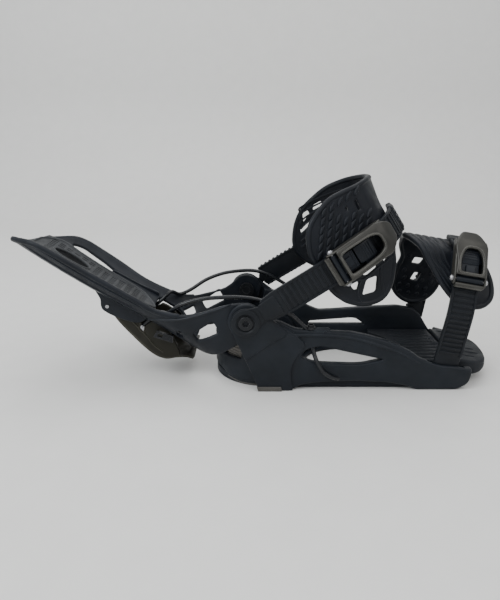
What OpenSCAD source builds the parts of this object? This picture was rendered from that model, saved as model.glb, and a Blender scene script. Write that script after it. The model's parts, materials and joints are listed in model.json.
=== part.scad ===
// Snowboard binding with a reclining highback, a rear locking lever, two bracing
// cables and two ratchet straps, as it lies with the highback folded back.
// Origin: centre of the disc seat on the board plane. +X toe, -Y buckle side, +Z up.

/* [Base] */
// Radius of the opening that takes the mounting disc
disc_r = 44; // [42:0.5:45]
// Radius of the toothed ledge that the disc clamps
disc_ledge_r = 49; // [48:0.5:49]
// Number of teeth round the disc ledge
disc_teeth = 60; // [36:12:72]
// Height of the disc ledge above the board
disc_ledge_h = 3; // [2.5:0.5:4]
// Outside radius of the heel hoop
hoop_r = 50; // [49:0.5:50.5]
// Height of the heel hoop
hoop_h = 44; // [40:1:46]
// Thickness of the base floor
floor_h = 7; // [6:0.5:8]
// Height of the top of the toe footbed
footbed_h = 23; // [20:0.5:24]

/* [Pivot] */
// Distance of the ankle pivot behind the disc centre
pivot_back = 104; // [102:0.5:106]
// Height of the ankle pivot above the board
pivot_h = 69; // [67:0.5:70]
// Radius of the shank of the ankle pivot bolts
pivot_bolt_r = 4; // [3.5:0.25:4.5]
// Radius of the shank of the toe strap bolts
toe_bolt_r = 3; // [2.5:0.25:3.25]
// Running clearance between a pin and its bore
play = 0.05; // [0.03:0.01:0.08]

/* [Highback] */
// Angle between the folded highback and the vertical
recline = 60; // [56:1:62]
// Height of the highback above the pivot, along the shell
highback_h = 227; // [215:1:235]
// Wall thickness of the highback shell
shell_t = 4; // [3.5:0.25:4.5]

/* [Straps] */
// Angle of the ankle strap above the board
ankle_angle = 32; // [31:0.5:34]
// Angle of the toe strap above the board
toe_angle = 80; // [79:0.5:81]
// Width of the ankle ladder
ankle_ladder_w = 26; // [24:0.5:26]
// Width of the toe ladder
toe_ladder_w = 24; // [22:0.5:24]
// Distance between two ladder teeth
tooth_pitch = 5.5; // [5:0.25:6]
// Thickness of the strap cushions
cushion_t = 5; // [4:0.5:5.5]

/* [Cables] */
// Diameter of the sheathed bracing cables
cable_d = 4; // [3.5:0.25:4.5]

/* [Hidden] */
$fn = 48;

nylon = "#20242b";
nylon_light = "#2b3038";
rubber_black = "#17191d";
eva_grey = "#5b5850";
pad_grey = "#3d4044";
bronze = "#35332a";
gunmetal = "#5e5d55";
steel = "#a9abad";

// layers outward from the middle plane, on both sides
arm_in = 51.5;
arm_out = 56;
ear_in = 57;
ear_out = 61;
head_in = 61.4;
head_out = 65.4;
rail_in = 49;
rail_out = 57;
ear_r = 16.5;
arm_eye_r = 16;
hoop_t = 5;
hoop_x = -85;

toe_x = 84;
toe_z = 14;

// radius of the clearance holes for the screws in the straps and cushions
screw_bore_r = 1.55;

// distance of the ladder and of the cushion from the strap line
ladder_gap = 2.6;
ladder_t = 3;
tooth_h = 1.2;

// ---- frames -----------------------------------------------------------------

module at_pivot() { translate([-pivot_back, 0, pivot_h]) children(); }
// x points to the leg and z up the shell
module in_highback() { at_pivot() rotate([0, -recline, 0]) children(); }
// x runs along the strap and z across its width, toward the leg
module in_ankle() { at_pivot() rotate([0, -ankle_angle, 0]) children(); }
module in_toe() { translate([toe_x, 0, toe_z]) rotate([0, -toe_angle, 0]) children(); }
module both_sides() {
    children();
    mirror([0, 1, 0]) children();
}
// a side profile, x across and z up, as a slab from y0 to y1
module slab(y0, y1) {
    translate([0, y1, 0]) rotate([90, 0, 0]) linear_extrude(y1 - y0) children();
}
// a round bar or bore along Y at x, z
module rod_y(x, z, r, y0, y1) {
    translate([x, y1, z]) rotate([90, 0, 0]) cylinder(r = r, h = y1 - y0);
}

// ---- curves -----------------------------------------------------------------

function spline(a, b, c, d, t) = 0.5 * (2 * b + (c - a) * t
    + (2 * a - 5 * b + 4 * c - d) * t * t + (3 * b - a - 3 * c + d) * t * t * t);
// a smooth line through the points, with n steps between neighbours
function smooth(p, n) = [
    for (i = [0 : len(p) - 2]) for (k = [0 : n - 1])
        spline(p[max(i - 1, 0)], p[i], p[i + 1], p[min(i + 2, len(p) - 1)], k / n),
    p[len(p) - 1]];
function unit(v) = v / norm(v);
function left_of(v) = [-v[1], v[0]];
// unit normal of a line at point i, to the left of its direction
function normal_at(p, i) =
    left_of(unit(p[min(i + 1, len(p) - 1)] - p[max(i - 1, 0)]));
function moved(p, d) = [for (i = [0 : len(p) - 1]) p[i] + d * normal_at(p, i)];
function reversed(p) = [for (i = [len(p) - 1 : -1 : 0]) p[i]];
function part_of(p, a, b) = [for (i = [a : b]) p[i]];
// a band between two offsets of a line
module band(line, d0, d1) {
    polygon(concat(moved(line, d0), reversed(moved(line, d1))));
}
function superellipse(a, b, k, t) =
    [-b * pow(cos(t), 2 / k), a * sign(t) * pow(abs(sin(t)), 2 / k)];

// a chain of round bars through 3-D points
module cable_run(points, d) {
    for (i = [0 : len(points) - 2]) {
        step = points[i + 1] - points[i];
        turn = atan2(step[1], step[0]);
        tilt = acos(step[2] / norm(step));
        translate(points[i]) rotate([0, tilt, turn]) cylinder(d = d, h = norm(step), $fn = 24);
        translate(points[i + 1]) sphere(d = d + 0.02, $fn = 24);
    }
}

// ---- base -------------------------------------------------------------------

near_rail = [[-103, 27], [-93, 5.5], [-91, 0], [-59, 0], [-52, 5], [-30, 8], [0, 8.8],
    [30, 7.5], [48, 4], [57, 0], [98, 0], [107, 6], [109, 14], [110.5, 22], [106, 20.7],
    [96, 22.9], [81, 24], [70, 27.3], [60, 31.5], [53, 37], [40, 44], [26, 49.5],
    [8, 54.5], [-7, 57.5], [-25, 58], [-47, 59], [-70, 66], [-88, 74], [-104, 78],
    [-120.4, 69]];
far_rail = [[-103, 27], [-93, 5.5], [-91, 0], [-59, 0], [-52, 5], [-30, 8], [0, 8.8],
    [30, 7.5], [48, 4], [57, 0], [98, 0], [107, 6], [108, 14], [101, 25], [92, 40],
    [84, 47], [65, 50], [25, 48], [-8, 45.5], [-23, 45], [-35, 50], [-50, 60],
    [-70, 68], [-88, 76], [-104, 78], [-120.4, 69]];
near_window = [[-52, 32.6], [-48.5, 39.5], [-33, 44], [25.5, 30], [3.6, 25.2],
    [-32.6, 26.8], [-39, 28.2]];
far_window = [[-34, 28.5], [-33, 32], [14, 35.7], [20, 35], [29, 28.5]];

// the room in which the highback arms swing
module arm_room() {
    translate([-pivot_back, pivot_h]) circle(r = arm_eye_r + 3);
    polygon([[-160, 26], [-118, 33], [-100, 38], [-86, 52], [-86, 95], [-160, 95]]);
}
module rail(profile, window) {
    difference() {
        slab(rail_in, rail_out + 0.5) difference() {
            polygon(profile);
            polygon(window);
            arm_room();
        }
        // the room that the arms need above the hoop
        slab(rail_in - 1, arm_in - 0.5) translate([-200, hoop_h]) square([112, 60]);
    }
    // the ear and the raised rear panel of the rail
    slab(ear_in, ear_out) difference() {
        union() {
            translate([-pivot_back, pivot_h]) circle(r = ear_r);
            polygon([[-120.4, 69], [-103, 27], [-93, 5.5], [-91, 0], [-60, 0], [-62, 47],
                [-72, 64], [-90, 77]]);
        }
        polygon([[-72, 64], [-62, 47], [-60, 0], [-66, 0], [-68, 44], [-78, 60]]);
    }
}
// a half round heel end with straight sides in front of it
module hoop_shape(r) {
    difference() {
        translate([hoop_x, 0]) circle(r = r, $fn = 96);
        translate([hoop_x + 1, -r - 1]) square([r + 2, 2 * r + 2]);
    }
    translate([hoop_x, -r]) square([35, 2 * r]);
}
module hoop() {
    intersection() {
        linear_extrude(hoop_h) difference() {
            hoop_shape(hoop_r);
            hoop_shape(hoop_r - hoop_t);
        }
        slab(-hoop_r - 5, hoop_r + 5) polygon([[-140, hoop_h - 3], [-140, 16], [-131, 6],
            [-121, 0], [-40, 0], [-40, 30], [-70, hoop_h - 4], [-95, hoop_h], [-136, hoop_h]]);
    }
}
module ring_of_teeth(r0, r1, n) {
    polygon([for (i = [0 : 2 * n - 1])
        let (r = i % 2 == 0 ? r0 : r1, a = i * 180 / n) [r * cos(a), r * sin(a)]]);
}
module floor_plate() {
    linear_extrude(floor_h) intersection() {
        union() {
            hoop_shape(hoop_r - 1);
            translate([-60, -rail_in - 0.5]) square([160, 2 * rail_in + 1]);
        }
        // rounded behind, cut square at the toe
        translate([-132, -60]) square([232, 120]);
    }
}
module baseplate() {
    color(nylon) difference() {
        union() {
            floor_plate();
            hoop();
            // skirts that carry the rails on the floor
            both_sides() slab(rail_in - 0.8, rail_in + 2.6) translate([-90.5, 0]) square([147, 12]);
            mirror([0, 1, 0]) rail(near_rail, near_window);
            rail(far_rail, far_window);
            // cable socket bosses on top of the rails
            both_sides() rod_y(socket_x, 55, 4.9, rail_in, rail_out + 0.5);
        }
        // opening and toothed ledge for the mounting disc
        translate([0, 0, -1]) cylinder(r = disc_r, h = floor_h + 2, $fn = 96);
        translate([0, 0, disc_ledge_h]) linear_extrude(floor_h) ring_of_teeth(
            disc_ledge_r, disc_ledge_r - 1.4, disc_teeth);
        // pivot and strap bolt bores, through both sides
        rod_y(-pivot_back, pivot_h, pivot_bolt_r + play, -70, 70);
        rod_y(toe_x, toe_z, toe_bolt_r + play, -56.3, 70);
        both_sides() translate([socket_x, socket_y, 0]) {
            translate([0, 0, 51]) cylinder(r = 3, h = 20);
            translate([0, 0, 38]) cylinder(d = cable_d + 0.6, h = 20);
        }
        // pocket for the root of the toe ladder
        translate([68, -54.4, 3.5]) cube([36, 4.2, 40]);
        // windows in the hoop, in front of the heel liner
        slab(-60, 60) translate([-126, 23]) square([19, 15]);
        // rear opening of the hoop
        translate([-140, -13, 20]) cube([20, 26, 12]);
        // tracks for the tongues and the screws of the toe ramp
        for (y = [-25, 25]) {
            translate([62, y - 8.3, 2.4]) cube([60, 16.6, 3.7]);
            translate([77, y - 2.2, -1]) cube([16, 4.4, 5]);
            translate([75, y - 4.4, -1]) cube([20, 8.8, 2.2]);
        }
        // recesses of the heel pads in the underside
        both_sides() translate([-93.5, 51.2, -1]) cube([24, 12, 5]);
    }
}
module heel_eva_pads() {
    color(eva_grey) both_sides() translate([-92.4, 51.4, 0]) cube([22.6, 9.4, 3.9]);
}
module heel_liner() {
    color(eva_grey) difference() {
        linear_extrude(hoop_h - 6) difference() {
            hoop_shape(hoop_r - hoop_t - 0.1);
            hoop_shape(hoop_r - hoop_t - 3);
        }
        translate([-60, -60, -1]) cube([40, 120, 80]);
        translate([-140, -60, -1]) cube([120, 120, floor_h + 8.1]);
    }
}
module heel_footbed() {
    color(rubber_black) translate([0, 0, floor_h]) linear_extrude(7) difference() {
        hoop_shape(hoop_r - hoop_t - 0.6);
        circle(r = disc_ledge_r + 1, $fn = 96);
    }
}
module toe_footbed() {
    color(nylon_light) difference() {
        translate([30, -rail_in + 0.8, floor_h]) cube([69.5, 2 * rail_in - 1.6,
            footbed_h - floor_h]);
        translate([0, 0, floor_h - 1]) cylinder(r = disc_ledge_r + 1, h = 30, $fn = 96);
        // sloping rear edge over the disc
        slab(-60, 60) polygon([[20, floor_h + 3], [46, footbed_h + 1], [20, footbed_h + 1]]);
        // pocket for the nut of the far toe strap bolt
        translate([toe_x - 6.5, 44.4, floor_h - 1]) cube([13, 10, 14.5]);
        // lengthwise grooves
        for (y = [-36 : 8 : 36])
            translate([56, y - 0.8, footbed_h - 1]) cube([34, 1.6, 2]);
    }
}
module toe_ramp() {
    color(nylon_light) difference() {
        union() {
            translate([0, 0, 8]) linear_extrude(15) polygon([[102, -41], [119, -41],
                [134, -30], [141, -8], [144.3, 13], [143.6, 28], [136, 40], [125, 51], [114, 57],
                [109.5, 57], [109.5, 48.4], [102, 48.4]]);
            for (y = [-25, 25])
                translate([66, y - 8, 2.6]) cube([40, 16, 3.3]);
            for (y = [-25, 25])
                translate([101.5, y - 8, 2.6]) cube([16, 16, 6]);
        }
        // chamfered front and a sloping top
        slab(-70, 70) polygon([[102, 24.5], [146, 17], [146, 30], [102, 30]]);
        slab(-70, 70) polygon([[128, 7], [150, 7], [150, 15]]);
        for (y = [-25, 25])
            translate([80, y, 2]) cylinder(r = 1.6, h = 6);
    }
}
module toe_ramp_screws() {
    color(steel) for (y = [-25, 25]) translate([80, y, 0.2]) {
        cylinder(r = 3.6, h = 0.9);
        cylinder(r = 1.55, h = 5.6);
    }
}
module pivot_bolts() {
    color(steel) both_sides() difference() {
        union() {
            rod_y(-pivot_back, pivot_h, pivot_bolt_r, 47, head_out + 0.6);
            rod_y(-pivot_back, pivot_h, 6.5, head_out - 1.2, head_out + 1.2);
        }
        // cross recess
        slab(head_out - 0.4, 80) translate([-pivot_back, pivot_h]) for (a = [20, 110])
            rotate(a) square([8, 1.8], center = true);
    }
}
module pivot_nuts() {
    color(steel) both_sides() difference() {
        rod_y(-pivot_back, pivot_h, 8, 46.6, 50.6);
        rod_y(-pivot_back, pivot_h, pivot_bolt_r + 0.02, 40, 60);
    }
}
module pivot_bushes() {
    color(nylon_light) both_sides() difference() {
        rod_y(-pivot_back, pivot_h, 6, arm_out + 0.1, ear_in - 0.1);
        rod_y(-pivot_back, pivot_h, pivot_bolt_r + 0.02, 50, 60);
    }
}
module toe_strap_bolts() {
    color(steel) {
        rod_y(toe_x, toe_z, toe_bolt_r, -56.2, -49);
        rod_y(toe_x, toe_z, toe_bolt_r, 45, 61.5);
        rod_y(toe_x, toe_z, 6, 61.4, 63);
    }
}
module toe_strap_nut() {
    color(steel) difference() {
        rod_y(toe_x, toe_z, 5.5, 45, 48.9);
        rod_y(toe_x, toe_z, toe_bolt_r + 0.02, 40, 60);
    }
}

// ---- cables -----------------------------------------------------------------

socket_x = -43;
socket_y = 53;
// x, z and depth from the middle plane of the front cable, down to its socket and below
front_cable = [[-72, 83, 47], [-57, 80, 47], [-48, 74, 50], [socket_x, 66, socket_y],
    [socket_x, 52, socket_y], [socket_x, 40, socket_y], [-41, 33, 46.2], [-38, 22, 46.2],
    [-35, 12, 46.2]];
rear_cable = [[-59.4, 79.5, 28.5], [-50, 76, 30.5], [-40, 71.5, 36], [-31, 65, 42],
    [-19, 52, 46.6], [-8, 41, 46.6], [5, 29, 46.6]];

module front_cable_run(side, last) {
    cable_run([for (i = [0 : last]) [front_cable[i][0], side * front_cable[i][2],
        front_cable[i][1]]], cable_d);
}
module front_cable_near() { color(nylon) front_cable_run(-1, 8); }
module front_cable_far() { color(nylon) front_cable_run(1, 4); }
module rear_cable_run(side) {
    in_highback() cable_run(smooth([for (p = rear_cable) [p[0], side * p[2], p[1]]], 2),
        cable_d);
}
module rear_cable_near() { color(nylon) rear_cable_run(-1); }
module rear_cable_far() { color(nylon) rear_cable_run(1); }
module cable_sockets() {
    color(steel) for (side = [-1, 1]) translate([socket_x, side * socket_y, 0]) difference() {
        union() {
            translate([0, 0, 53]) cylinder(r = 2.95, h = 11);
            translate([0, 0, 60]) cylinder(r = 4.2, h = 2);
        }
        cylinder(d = cable_d + 0.4, h = 80);
    }
}

// ---- highback ---------------------------------------------------------------

back_in = 53;
back_side = 51.6;
loop_low = 16;

module back_wall(depth, side, wall) {
    polygon(concat(
        [for (t = [-90 : 6 : 90]) superellipse(side + wall, depth + wall, 3, t)],
        [for (t = [90 : -6 : -90]) superellipse(side, depth, 3, t)]));
}
highback_side = [[-80, 44], [-62, 24], [-56, 18], [-43, 8], [-34, 2], [-26, -7], [-12, -14],
    [16, 0], [8, 22], [-12, 37], [-22, 45], [-30, 57], [-38, 82], [-39, 102], [-43, 127],
    [-42, 154], [-44, 184], [-44, 215], [-50, 232], [-80, 232]];
module highback_shell() {
    color(nylon) in_highback() difference() {
        intersection() {
            union() {
                translate([0, 0, loop_low]) linear_extrude(highback_h - loop_low)
                    back_wall(back_in, back_side, shell_t);
                both_sides() slab(arm_in, arm_out) polygon([[-62, 24], [-56, 18], [-43, 8],
                    [-34, 2], [-26, -7], [0, -20], [20, 0], [8, 22], [-12, 37], [-22, 45],
                    [-30, 57], [-38, 82], [-39, 95], [-44, 95], [-50, 60]]);
                // lugs for the pin of the lever
                for (y = [-22, 12]) slab(y, y + 10) {
                    translate([-61, 119]) circle(r = 5);
                    translate([-61, 114]) square([8, 10]);
                }
            }
            union() {
                slab(-70, 70) polygon(highback_side);
                slab(-arm_out, arm_out) circle(r = arm_eye_r);
            }
            // outline of the shell seen from behind
            rotate([90, 0, -90]) linear_extrude(300, center = true) polygon([[-60, -40],
                [60, -40], [60, 190], [40, 226], [26, 232], [-26, 220], [-44, 208], [-56, 190],
                [-60, 150]]);
        }
        // arm bores
        rod_y(0, 0, pivot_bolt_r + play, -70, 70);
        rod_y(-61, 119, 2 + 0.02, -30, 30);
        // windows in the arms
        slab(-70, 70) polygon([[-34, 35], [-38.5, 29.5], [-23.5, 14.5], [-16.5, 24.5]]);
        slab(-70, 70) polygon([[-44, 52], [-39, 45], [-48, 40], [-51, 45]]);
        // opening between the heel loop and the shell
        translate([-80, -36, 46]) cube([40, 72, 37]);
        // slots between the pad and both rims
        for (y = [-46, 38]) translate([-60, y, 110]) cube([24, 7, 62]);
    }
}
module highback_pad() {
    color(pad_grey) in_highback() difference() {
        intersection() {
            translate([0, 0, 84]) linear_extrude(134)
                back_wall(back_in - cushion_t - 0.3, back_side - cushion_t - 0.3, cushion_t);
            rotate([90, 0, -90]) linear_extrude(300, center = true) polygon([[-22, 88],
                [8, 84], [24, 104], [32, 140], [34, 190], [30, 218], [-26, 210], [-30, 160]]);
        }
        // oval recess
        slab(-16, 32) translate([-50, 170]) square([5, 18]);
        for (y = [-12, 14]) rod_x(-60, -20, y, 104, 1.8);
    }
}
// a round bar along X at y, z
module rod_x(x0, x1, y, z, r) {
    translate([x0, y, z]) rotate([0, 90, 0]) cylinder(r = r, h = x1 - x0);
}
module highback_pad_screws() {
    color(steel) in_highback() for (y = [-12, 14]) {
        rod_x(-52.3, -46, y, 104, 1.7);
        rod_x(-46.6, -45.2, y, 104, 3.2);
    }
}
module lever_pin() {
    color(steel) in_highback() {
        rod_y(-61, 119, 2, -31, 31);
        rod_y(-61, 119, 3.4, -32.6, -31);
        rod_y(-61, 119, 3.4, 31, 32.6);
    }
}

// ---- rear lever -------------------------------------------------------------

lever_back = [[-64.5, 115], [-73, 92], [-78.5, 65], [-79.5, 49], [-73, 36], [-69, 24]];
module lock_lever() {
    color(bronze) in_highback() difference() {
        union() {
            // back plate that follows the shell
            slab(-30.8, 30.8) polygon(concat(lever_back,
                [[-66, 24], [-70, 38], [-76, 50], [-75, 65], [-69.8, 91], [-62.5, 110]]));
            // side flanges
            both_sides() slab(26.8, 30.8) {
                translate([-61, 119]) circle(r = 4.4);
                polygon([[-64.9, 117], [-64.5, 115], [-73, 92], [-78.5, 65], [-76, 58],
                    [-66, 66], [-62, 74], [-61, 88], [-59.5, 110], [-57.5, 116]]);
            }
        }
        rod_y(-61, 119, 2 + play, -40, 40);
        // hook slots for the cable barrels
        slab(-40, 40) {
            translate([-65.8, 80]) circle(r = 3);
            translate([-66, 77.2]) square([10, 5.6]);
        }
    }
}
module cable_barrels() {
    color(steel) in_highback() both_sides() rod_y(-65.8, 80, 2.9, 26.9, 30.7);
}
module lever_link() {
    color(nylon) in_highback() both_sides() slab(37, 40) difference() {
        polygon([[-64, 66], [-57, 66], [-54, 50], [-60, 47]]);
        polygon([[-61.5, 63.5], [-58.5, 63.5], [-57.6, 58.5], [-60.6, 58.5]]);
    }
}

// ---- ankle strap ------------------------------------------------------------

// the strap line as s along the strap and y across the boot
ankle_line = smooth([[0, -59], [22, -59], [44, -59], [66, -58.6], [88, -57], [110, -50.7],
    [132, -44.4], [152, -38.6], [163, -22], [167, 0], [163, 22], [150, 40], [122, 51],
    [92, 56], [62, 59.4], [34, 61.1], [17, 61.2], [0, 61.2]], 4);
ankle_outline = [[82, -16], [88, -34], [99, -48], [111, -55], [126, -57], [140, -50], [155, -34],
    [163, -20], [168, -8], [166, 14], [168, 30], [176, 47], [158, 54], [139, 56], [115, 52],
    [97, 42], [87, 29], [82, 12]];

// the same band with teeth on its outer face
module ladder(line, gap, t, pitch, from) {
    outer = [for (i = [0 : len(line) - 1])
        line[i] - (gap + t) * normal_at(line, i)];
    polygon(concat(moved(line, -gap), reversed(outer)));
    // teeth
    for (i = [from : len(line) - 3]) {
        seg = line[i + 1] - line[i];
        count = max(1, round(norm(seg) / pitch));
        for (k = [0 : count - 1])
            translate(line[i] + seg * (k + 0.5) / count - (gap + t - 0.1) * normal_at(line, i))
                rotate(atan2(seg[1], seg[0])) translate([-1.1, -tooth_h])
                    square([2.2, tooth_h + 0.2]);
    }
}
module ankle_pad() {
    color(rubber_black) in_ankle() difference() {
        intersection() {
            translate([0, 0, -80]) linear_extrude(160)
                band(part_of(ankle_line, 14, 56), 0, cushion_t);
            slab(-80, 80) polygon(ankle_outline);
        }
        // openings of the lattice
        for (z = [[-46, -28], [30, 46]]) for (s = [100 : 17 : 134])
            slab(-80, 80) polygon([[s, z[0] + 2], [s + 10, z[0]], [s + 13, z[1] - 2],
                [s + 4, z[1]]]);
        for (side = [-1, 1])
            at_ankle_screws(side) translate([0, 0, -8]) cylinder(r = screw_bore_r, h = 12);
        in_ankle_buckle_line() buckle_seat(ankle_ladder_w, 30, 24);
    }
}
// the screws that hold the buckle and the far strap to the cushion, z pointing outward
module at_ankle_screws(side) {
    for (z = [-8, 8])
        if (side < 0) in_ankle_buckle_line() translate([screw_x, 0, z]) rotate([90, 0, 0])
            children();
        else translate([97, 55.2, z]) rotate([0, 0, -9]) rotate([-90, 0, 0]) children();
}
module strap_screw(grip) {
    translate([0, 0, -5.5]) cylinder(r = 1.5, h = 5.5 + grip);
    translate([0, 0, -6.8]) cylinder(r = 3.2, h = 1.4);
}
// a screw with a washer on the outer face of a far strap
module far_strap_screw() {
    strap_screw(4);
    translate([0, 0, 3.9]) cylinder(r = 3, h = 1.2);
}
module ankle_strap_screws() {
    color(steel) in_ankle() {
        at_ankle_screws(-1) strap_screw(2);
        at_ankle_screws(1) far_strap_screw();
    }
}
module strap_head(side, r, hole) {
    slab(side > 0 ? head_in : -head_out, side > 0 ? head_out : -head_in)
        difference() {
            circle(r = r);
            circle(r = hole + play);
        }
}
module ankle_ladder() {
    color(rubber_black) in_ankle() difference() {
        union() {
            translate([0, 0, -ankle_ladder_w / 2]) linear_extrude(ankle_ladder_w)
                ladder(part_of(ankle_line, 2, 37), ladder_gap, ladder_t, tooth_pitch, 5);
            strap_head(-1, 13.5, pivot_bolt_r);
        }
        rod_y(0, 0, pivot_bolt_r + play, -80, 0);
        // seat of the bolt head
        rod_y(0, 0, 7, -70, -head_out + 1.3);
        // sides that taper to the head
        at_both_z() slab(-80, -50) polygon([[-16, 13.6], [2, 10.5], [20, 11],
            [38, ankle_ladder_w / 2 + 0.1], [38, 20], [-16, 20]]);
    }
}
module ankle_far_strap() {
    color(rubber_black) in_ankle() difference() {
        union() {
            translate([0, 0, -12]) linear_extrude(24)
                band(part_of(ankle_line, 49, 67), -0.3, -3.5);
            strap_head(1, 13.5, pivot_bolt_r);
            slab(head_in, head_out - 0.7) translate([0, -12]) square([24, 24]);
        }
        rod_y(0, 0, pivot_bolt_r + play, 0, 80);
        rod_y(0, 0, 7, head_out - 1.3, 80);
        at_ankle_screws(1) translate([0, 0, -4]) cylinder(r = screw_bore_r, h = 12);
    }
}

// ---- ratchet buckles --------------------------------------------------------
// A buckle lies in its own frame: x along the strap, -y outward, z across.

// slope of each buckle against its strap's own line
ankle_tilt = 16;
toe_tilt = 25;
screw_x = -19.5;
wall_t = 1.5;
side_gap = 0.4;
lever_arm_t = 2.7;
axle_r = 2;
axle_h = 12;
pawl_x = 4;
pawl_h = 10;

module in_ankle_buckle_line() {
    translate([120, -47.84, 0]) rotate([0, 0, ankle_tilt]) children();
}
module in_toe_buckle_line() {
    translate([105.344, -35.492, 0]) rotate([0, 0, toe_tilt]) children();
}
module in_ankle_buckle() { in_ankle() in_ankle_buckle_line() children(); }
module in_toe_buckle() { in_toe() in_toe_buckle_line() children(); }
module bar_z(x, h, r, half) {
    translate([x, -h, -half]) cylinder(r = r, h = 2 * half);
}
module flat(z0, z1) { translate([0, 0, z0]) linear_extrude(z1 - z0) children(); }
module at_both_z() {
    children();
    mirror([0, 0, 1]) children();
}
// the flat seat that a buckle's base needs in the cushion below it
module buckle_seat(w, back, front) {
    half = w / 2 + side_gap + wall_t + 0.4;
    translate([-back - 3, -8, -half]) cube([back + front + 4, 7.9, 2 * half]);
}
module buckle_base(w, back, front) {
    wall = w / 2 + side_gap;
    difference() {
        union() {
            flat(-wall - 0.5, wall + 0.5) polygon([[-back, -0.2], [front, -0.2], [front, -2.1],
                [-back, -2.1]]);
            at_both_z() flat(wall, wall + wall_t) polygon([[-back - 2, -0.2],
                [front, -0.2], [front, -5], [pawl_x + 6, -13], [-back + 8, -15], [-back - 1, -14]]);
        }
        bar_z(-back + 4, axle_h, axle_r + 0.02, 40);
        bar_z(pawl_x, pawl_h, 1.5 + 0.02, 40);
        // clearance for the mounting screws
        for (z = [-8, 8]) translate([-19.5, 2, z]) rotate([90, 0, 0]) cylinder(r = screw_bore_r, h = 6);
    }
}
module buckle_axle(w, back) {
    bar_z(-back + 4, axle_h, axle_r, w / 2 + side_gap + wall_t + 0.3 + lever_arm_t + 0.6);
}
module buckle_pawl_pin(w) {
    bar_z(pawl_x, pawl_h, 1.5, w / 2 + side_gap + wall_t - 0.05);
}
module buckle_lever(w, back, front) {
    arm = w / 2 + side_gap + wall_t + 0.3;
    axle_x = -back + 4;
    difference() {
        union() {
            // frame over the buckle, with a rounded nose
            flat(-arm - lever_arm_t, arm + lever_arm_t) difference() {
                polygon([[axle_x + 4, -16.6], [axle_x + 8, -18.5], [front - 12, -18.5],
                    [front - 3, -15], [front, -9.5], [front - 3, -7.8], [front - 9, -10],
                    [front - 14, -15.2], [axle_x + 4, -15.2]]);
            }
            at_both_z() flat(arm, arm + lever_arm_t) {
                translate([axle_x, -axle_h]) circle(r = 5);
                polygon([[axle_x - 4, -9], [axle_x + 6, -7], [front - 14, -8], [front - 5, -6],
                    [front - 8, -14], [front - 14, -18], [axle_x + 8, -18.2],
                    [axle_x - 4, -14.6]]);
            }
            // drive cam between the side walls
            bar_z(axle_x, axle_h, 4.2, w / 2 - 0.4);
        }
        bar_z(axle_x, axle_h, axle_r + play, 60);
        // window over the release tab
        translate([pawl_x - 11, -30, -9.5]) cube([21, 28, 19]);
    }
}
module buckle_pawl(w) {
    difference() {
        union() {
            bar_z(pawl_x, pawl_h, 2.4, w / 2 - 0.6);
            flat(-8.6, 8.6) polygon([[pawl_x - 10, -11.4], [pawl_x - 9, -14.5], [pawl_x - 3, -15.5],
                [pawl_x + 8.5, -15], [pawl_x + 9, -12], [pawl_x + 2, -10], [pawl_x - 2, -10]]);
            // square press button
            flat(-4.5, 4.5) polygon([[pawl_x - 2, -15], [pawl_x - 1, -17.2], [pawl_x + 6, -17],
                [pawl_x + 7, -14.8]]);
        }
        bar_z(pawl_x, pawl_h, 1.5 + play, 60);
    }
}
// a torsion spring coil round the pawl pin
module pawl_spring(w) {
    translate([pawl_x, -pawl_h, w / 2 - 0.4]) difference() {
        cylinder(r = 2.6, h = 0.6);
        translate([0, 0, -1]) cylinder(r = 1.53, h = 3);
    }
}

module ankle_buckle_base() {
    color(nylon) in_ankle_buckle() buckle_base(ankle_ladder_w, 30, 24);
}
module ankle_buckle_axle() {
    color(steel) in_ankle_buckle() buckle_axle(ankle_ladder_w, 30);
}
module ankle_pawl_pin() { color(steel) in_ankle_buckle() buckle_pawl_pin(ankle_ladder_w); }
module ankle_buckle_lever() {
    color(gunmetal) in_ankle_buckle() buckle_lever(ankle_ladder_w, 30, 37);
}
module ankle_pawl() { color(nylon) in_ankle_buckle() buckle_pawl(ankle_ladder_w); }
module ankle_pawl_spring() { color(steel) in_ankle_buckle() pawl_spring(ankle_ladder_w); }

// ---- toe strap --------------------------------------------------------------

toe_line = smooth([[0, -48], [20, -48.6], [42, -50], [62, -50.8], [78, -48.2], [90.5, -42.4],
    [103, -36.6], [115, -31], [119.5, -16], [121, 0], [117, 18], [105, 34], [85, 44], [65, 51],
    [47, 57], [30, 57.7], [14, 57.7], [0, 57.7]], 4);
near_toe_outline = [[52, 0], [57, -20], [66, -33], [84, -33], [103, -21], [124, -4], [128, 20],
    [124, 52], [108, 40], [92, 28], [76, 18], [61, 4]];
far_toe_outline = [[37, 12], [42, -3], [54, -12], [64, -14], [90, -10], [124, -4], [128, 20],
    [124, 52], [108, 44], [92, 35], [77, 37], [60, 36], [50, 32], [42, 24]];

module toe_cap() {
    color(rubber_black) in_toe() difference() {
        intersection() {
            translate([0, 0, -60]) linear_extrude(130)
                band(part_of(toe_line, 9, 58), 0, cushion_t);
            union() {
                slab(-70, 0.5) polygon(near_toe_outline);
                slab(-0.5, 70) polygon(far_toe_outline);
            }
        }
        // openings of the grid
        for (z = [-8, 6, 20, 34]) for (y = [-14, 2])
            translate([100, y, z]) cube([40, 10, 9]);
        translate([82, -80, -24]) cube([9, 100, 10]);
        translate([82, -80, 18]) cube([12, 160, 8]);
        for (side = [-1, 1])
            at_toe_screws(side) translate([0, 0, -8]) cylinder(r = screw_bore_r, h = 12);
        in_toe_buckle_line() buckle_seat(toe_ladder_w, 22, 10);
    }
}
module at_toe_screws(side) {
    for (z = [-8, 8])
        if (side < 0) in_toe_buckle_line() translate([screw_x, 0, z]) rotate([90, 0, 0])
            children();
        else translate([60, 52.82, z]) rotate([0, 0, -20.6]) rotate([-90, 0, 0]) children();
}
module toe_strap_screws() {
    color(steel) in_toe() {
        at_toe_screws(-1) strap_screw(2);
        at_toe_screws(1) far_strap_screw();
    }
}
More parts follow.
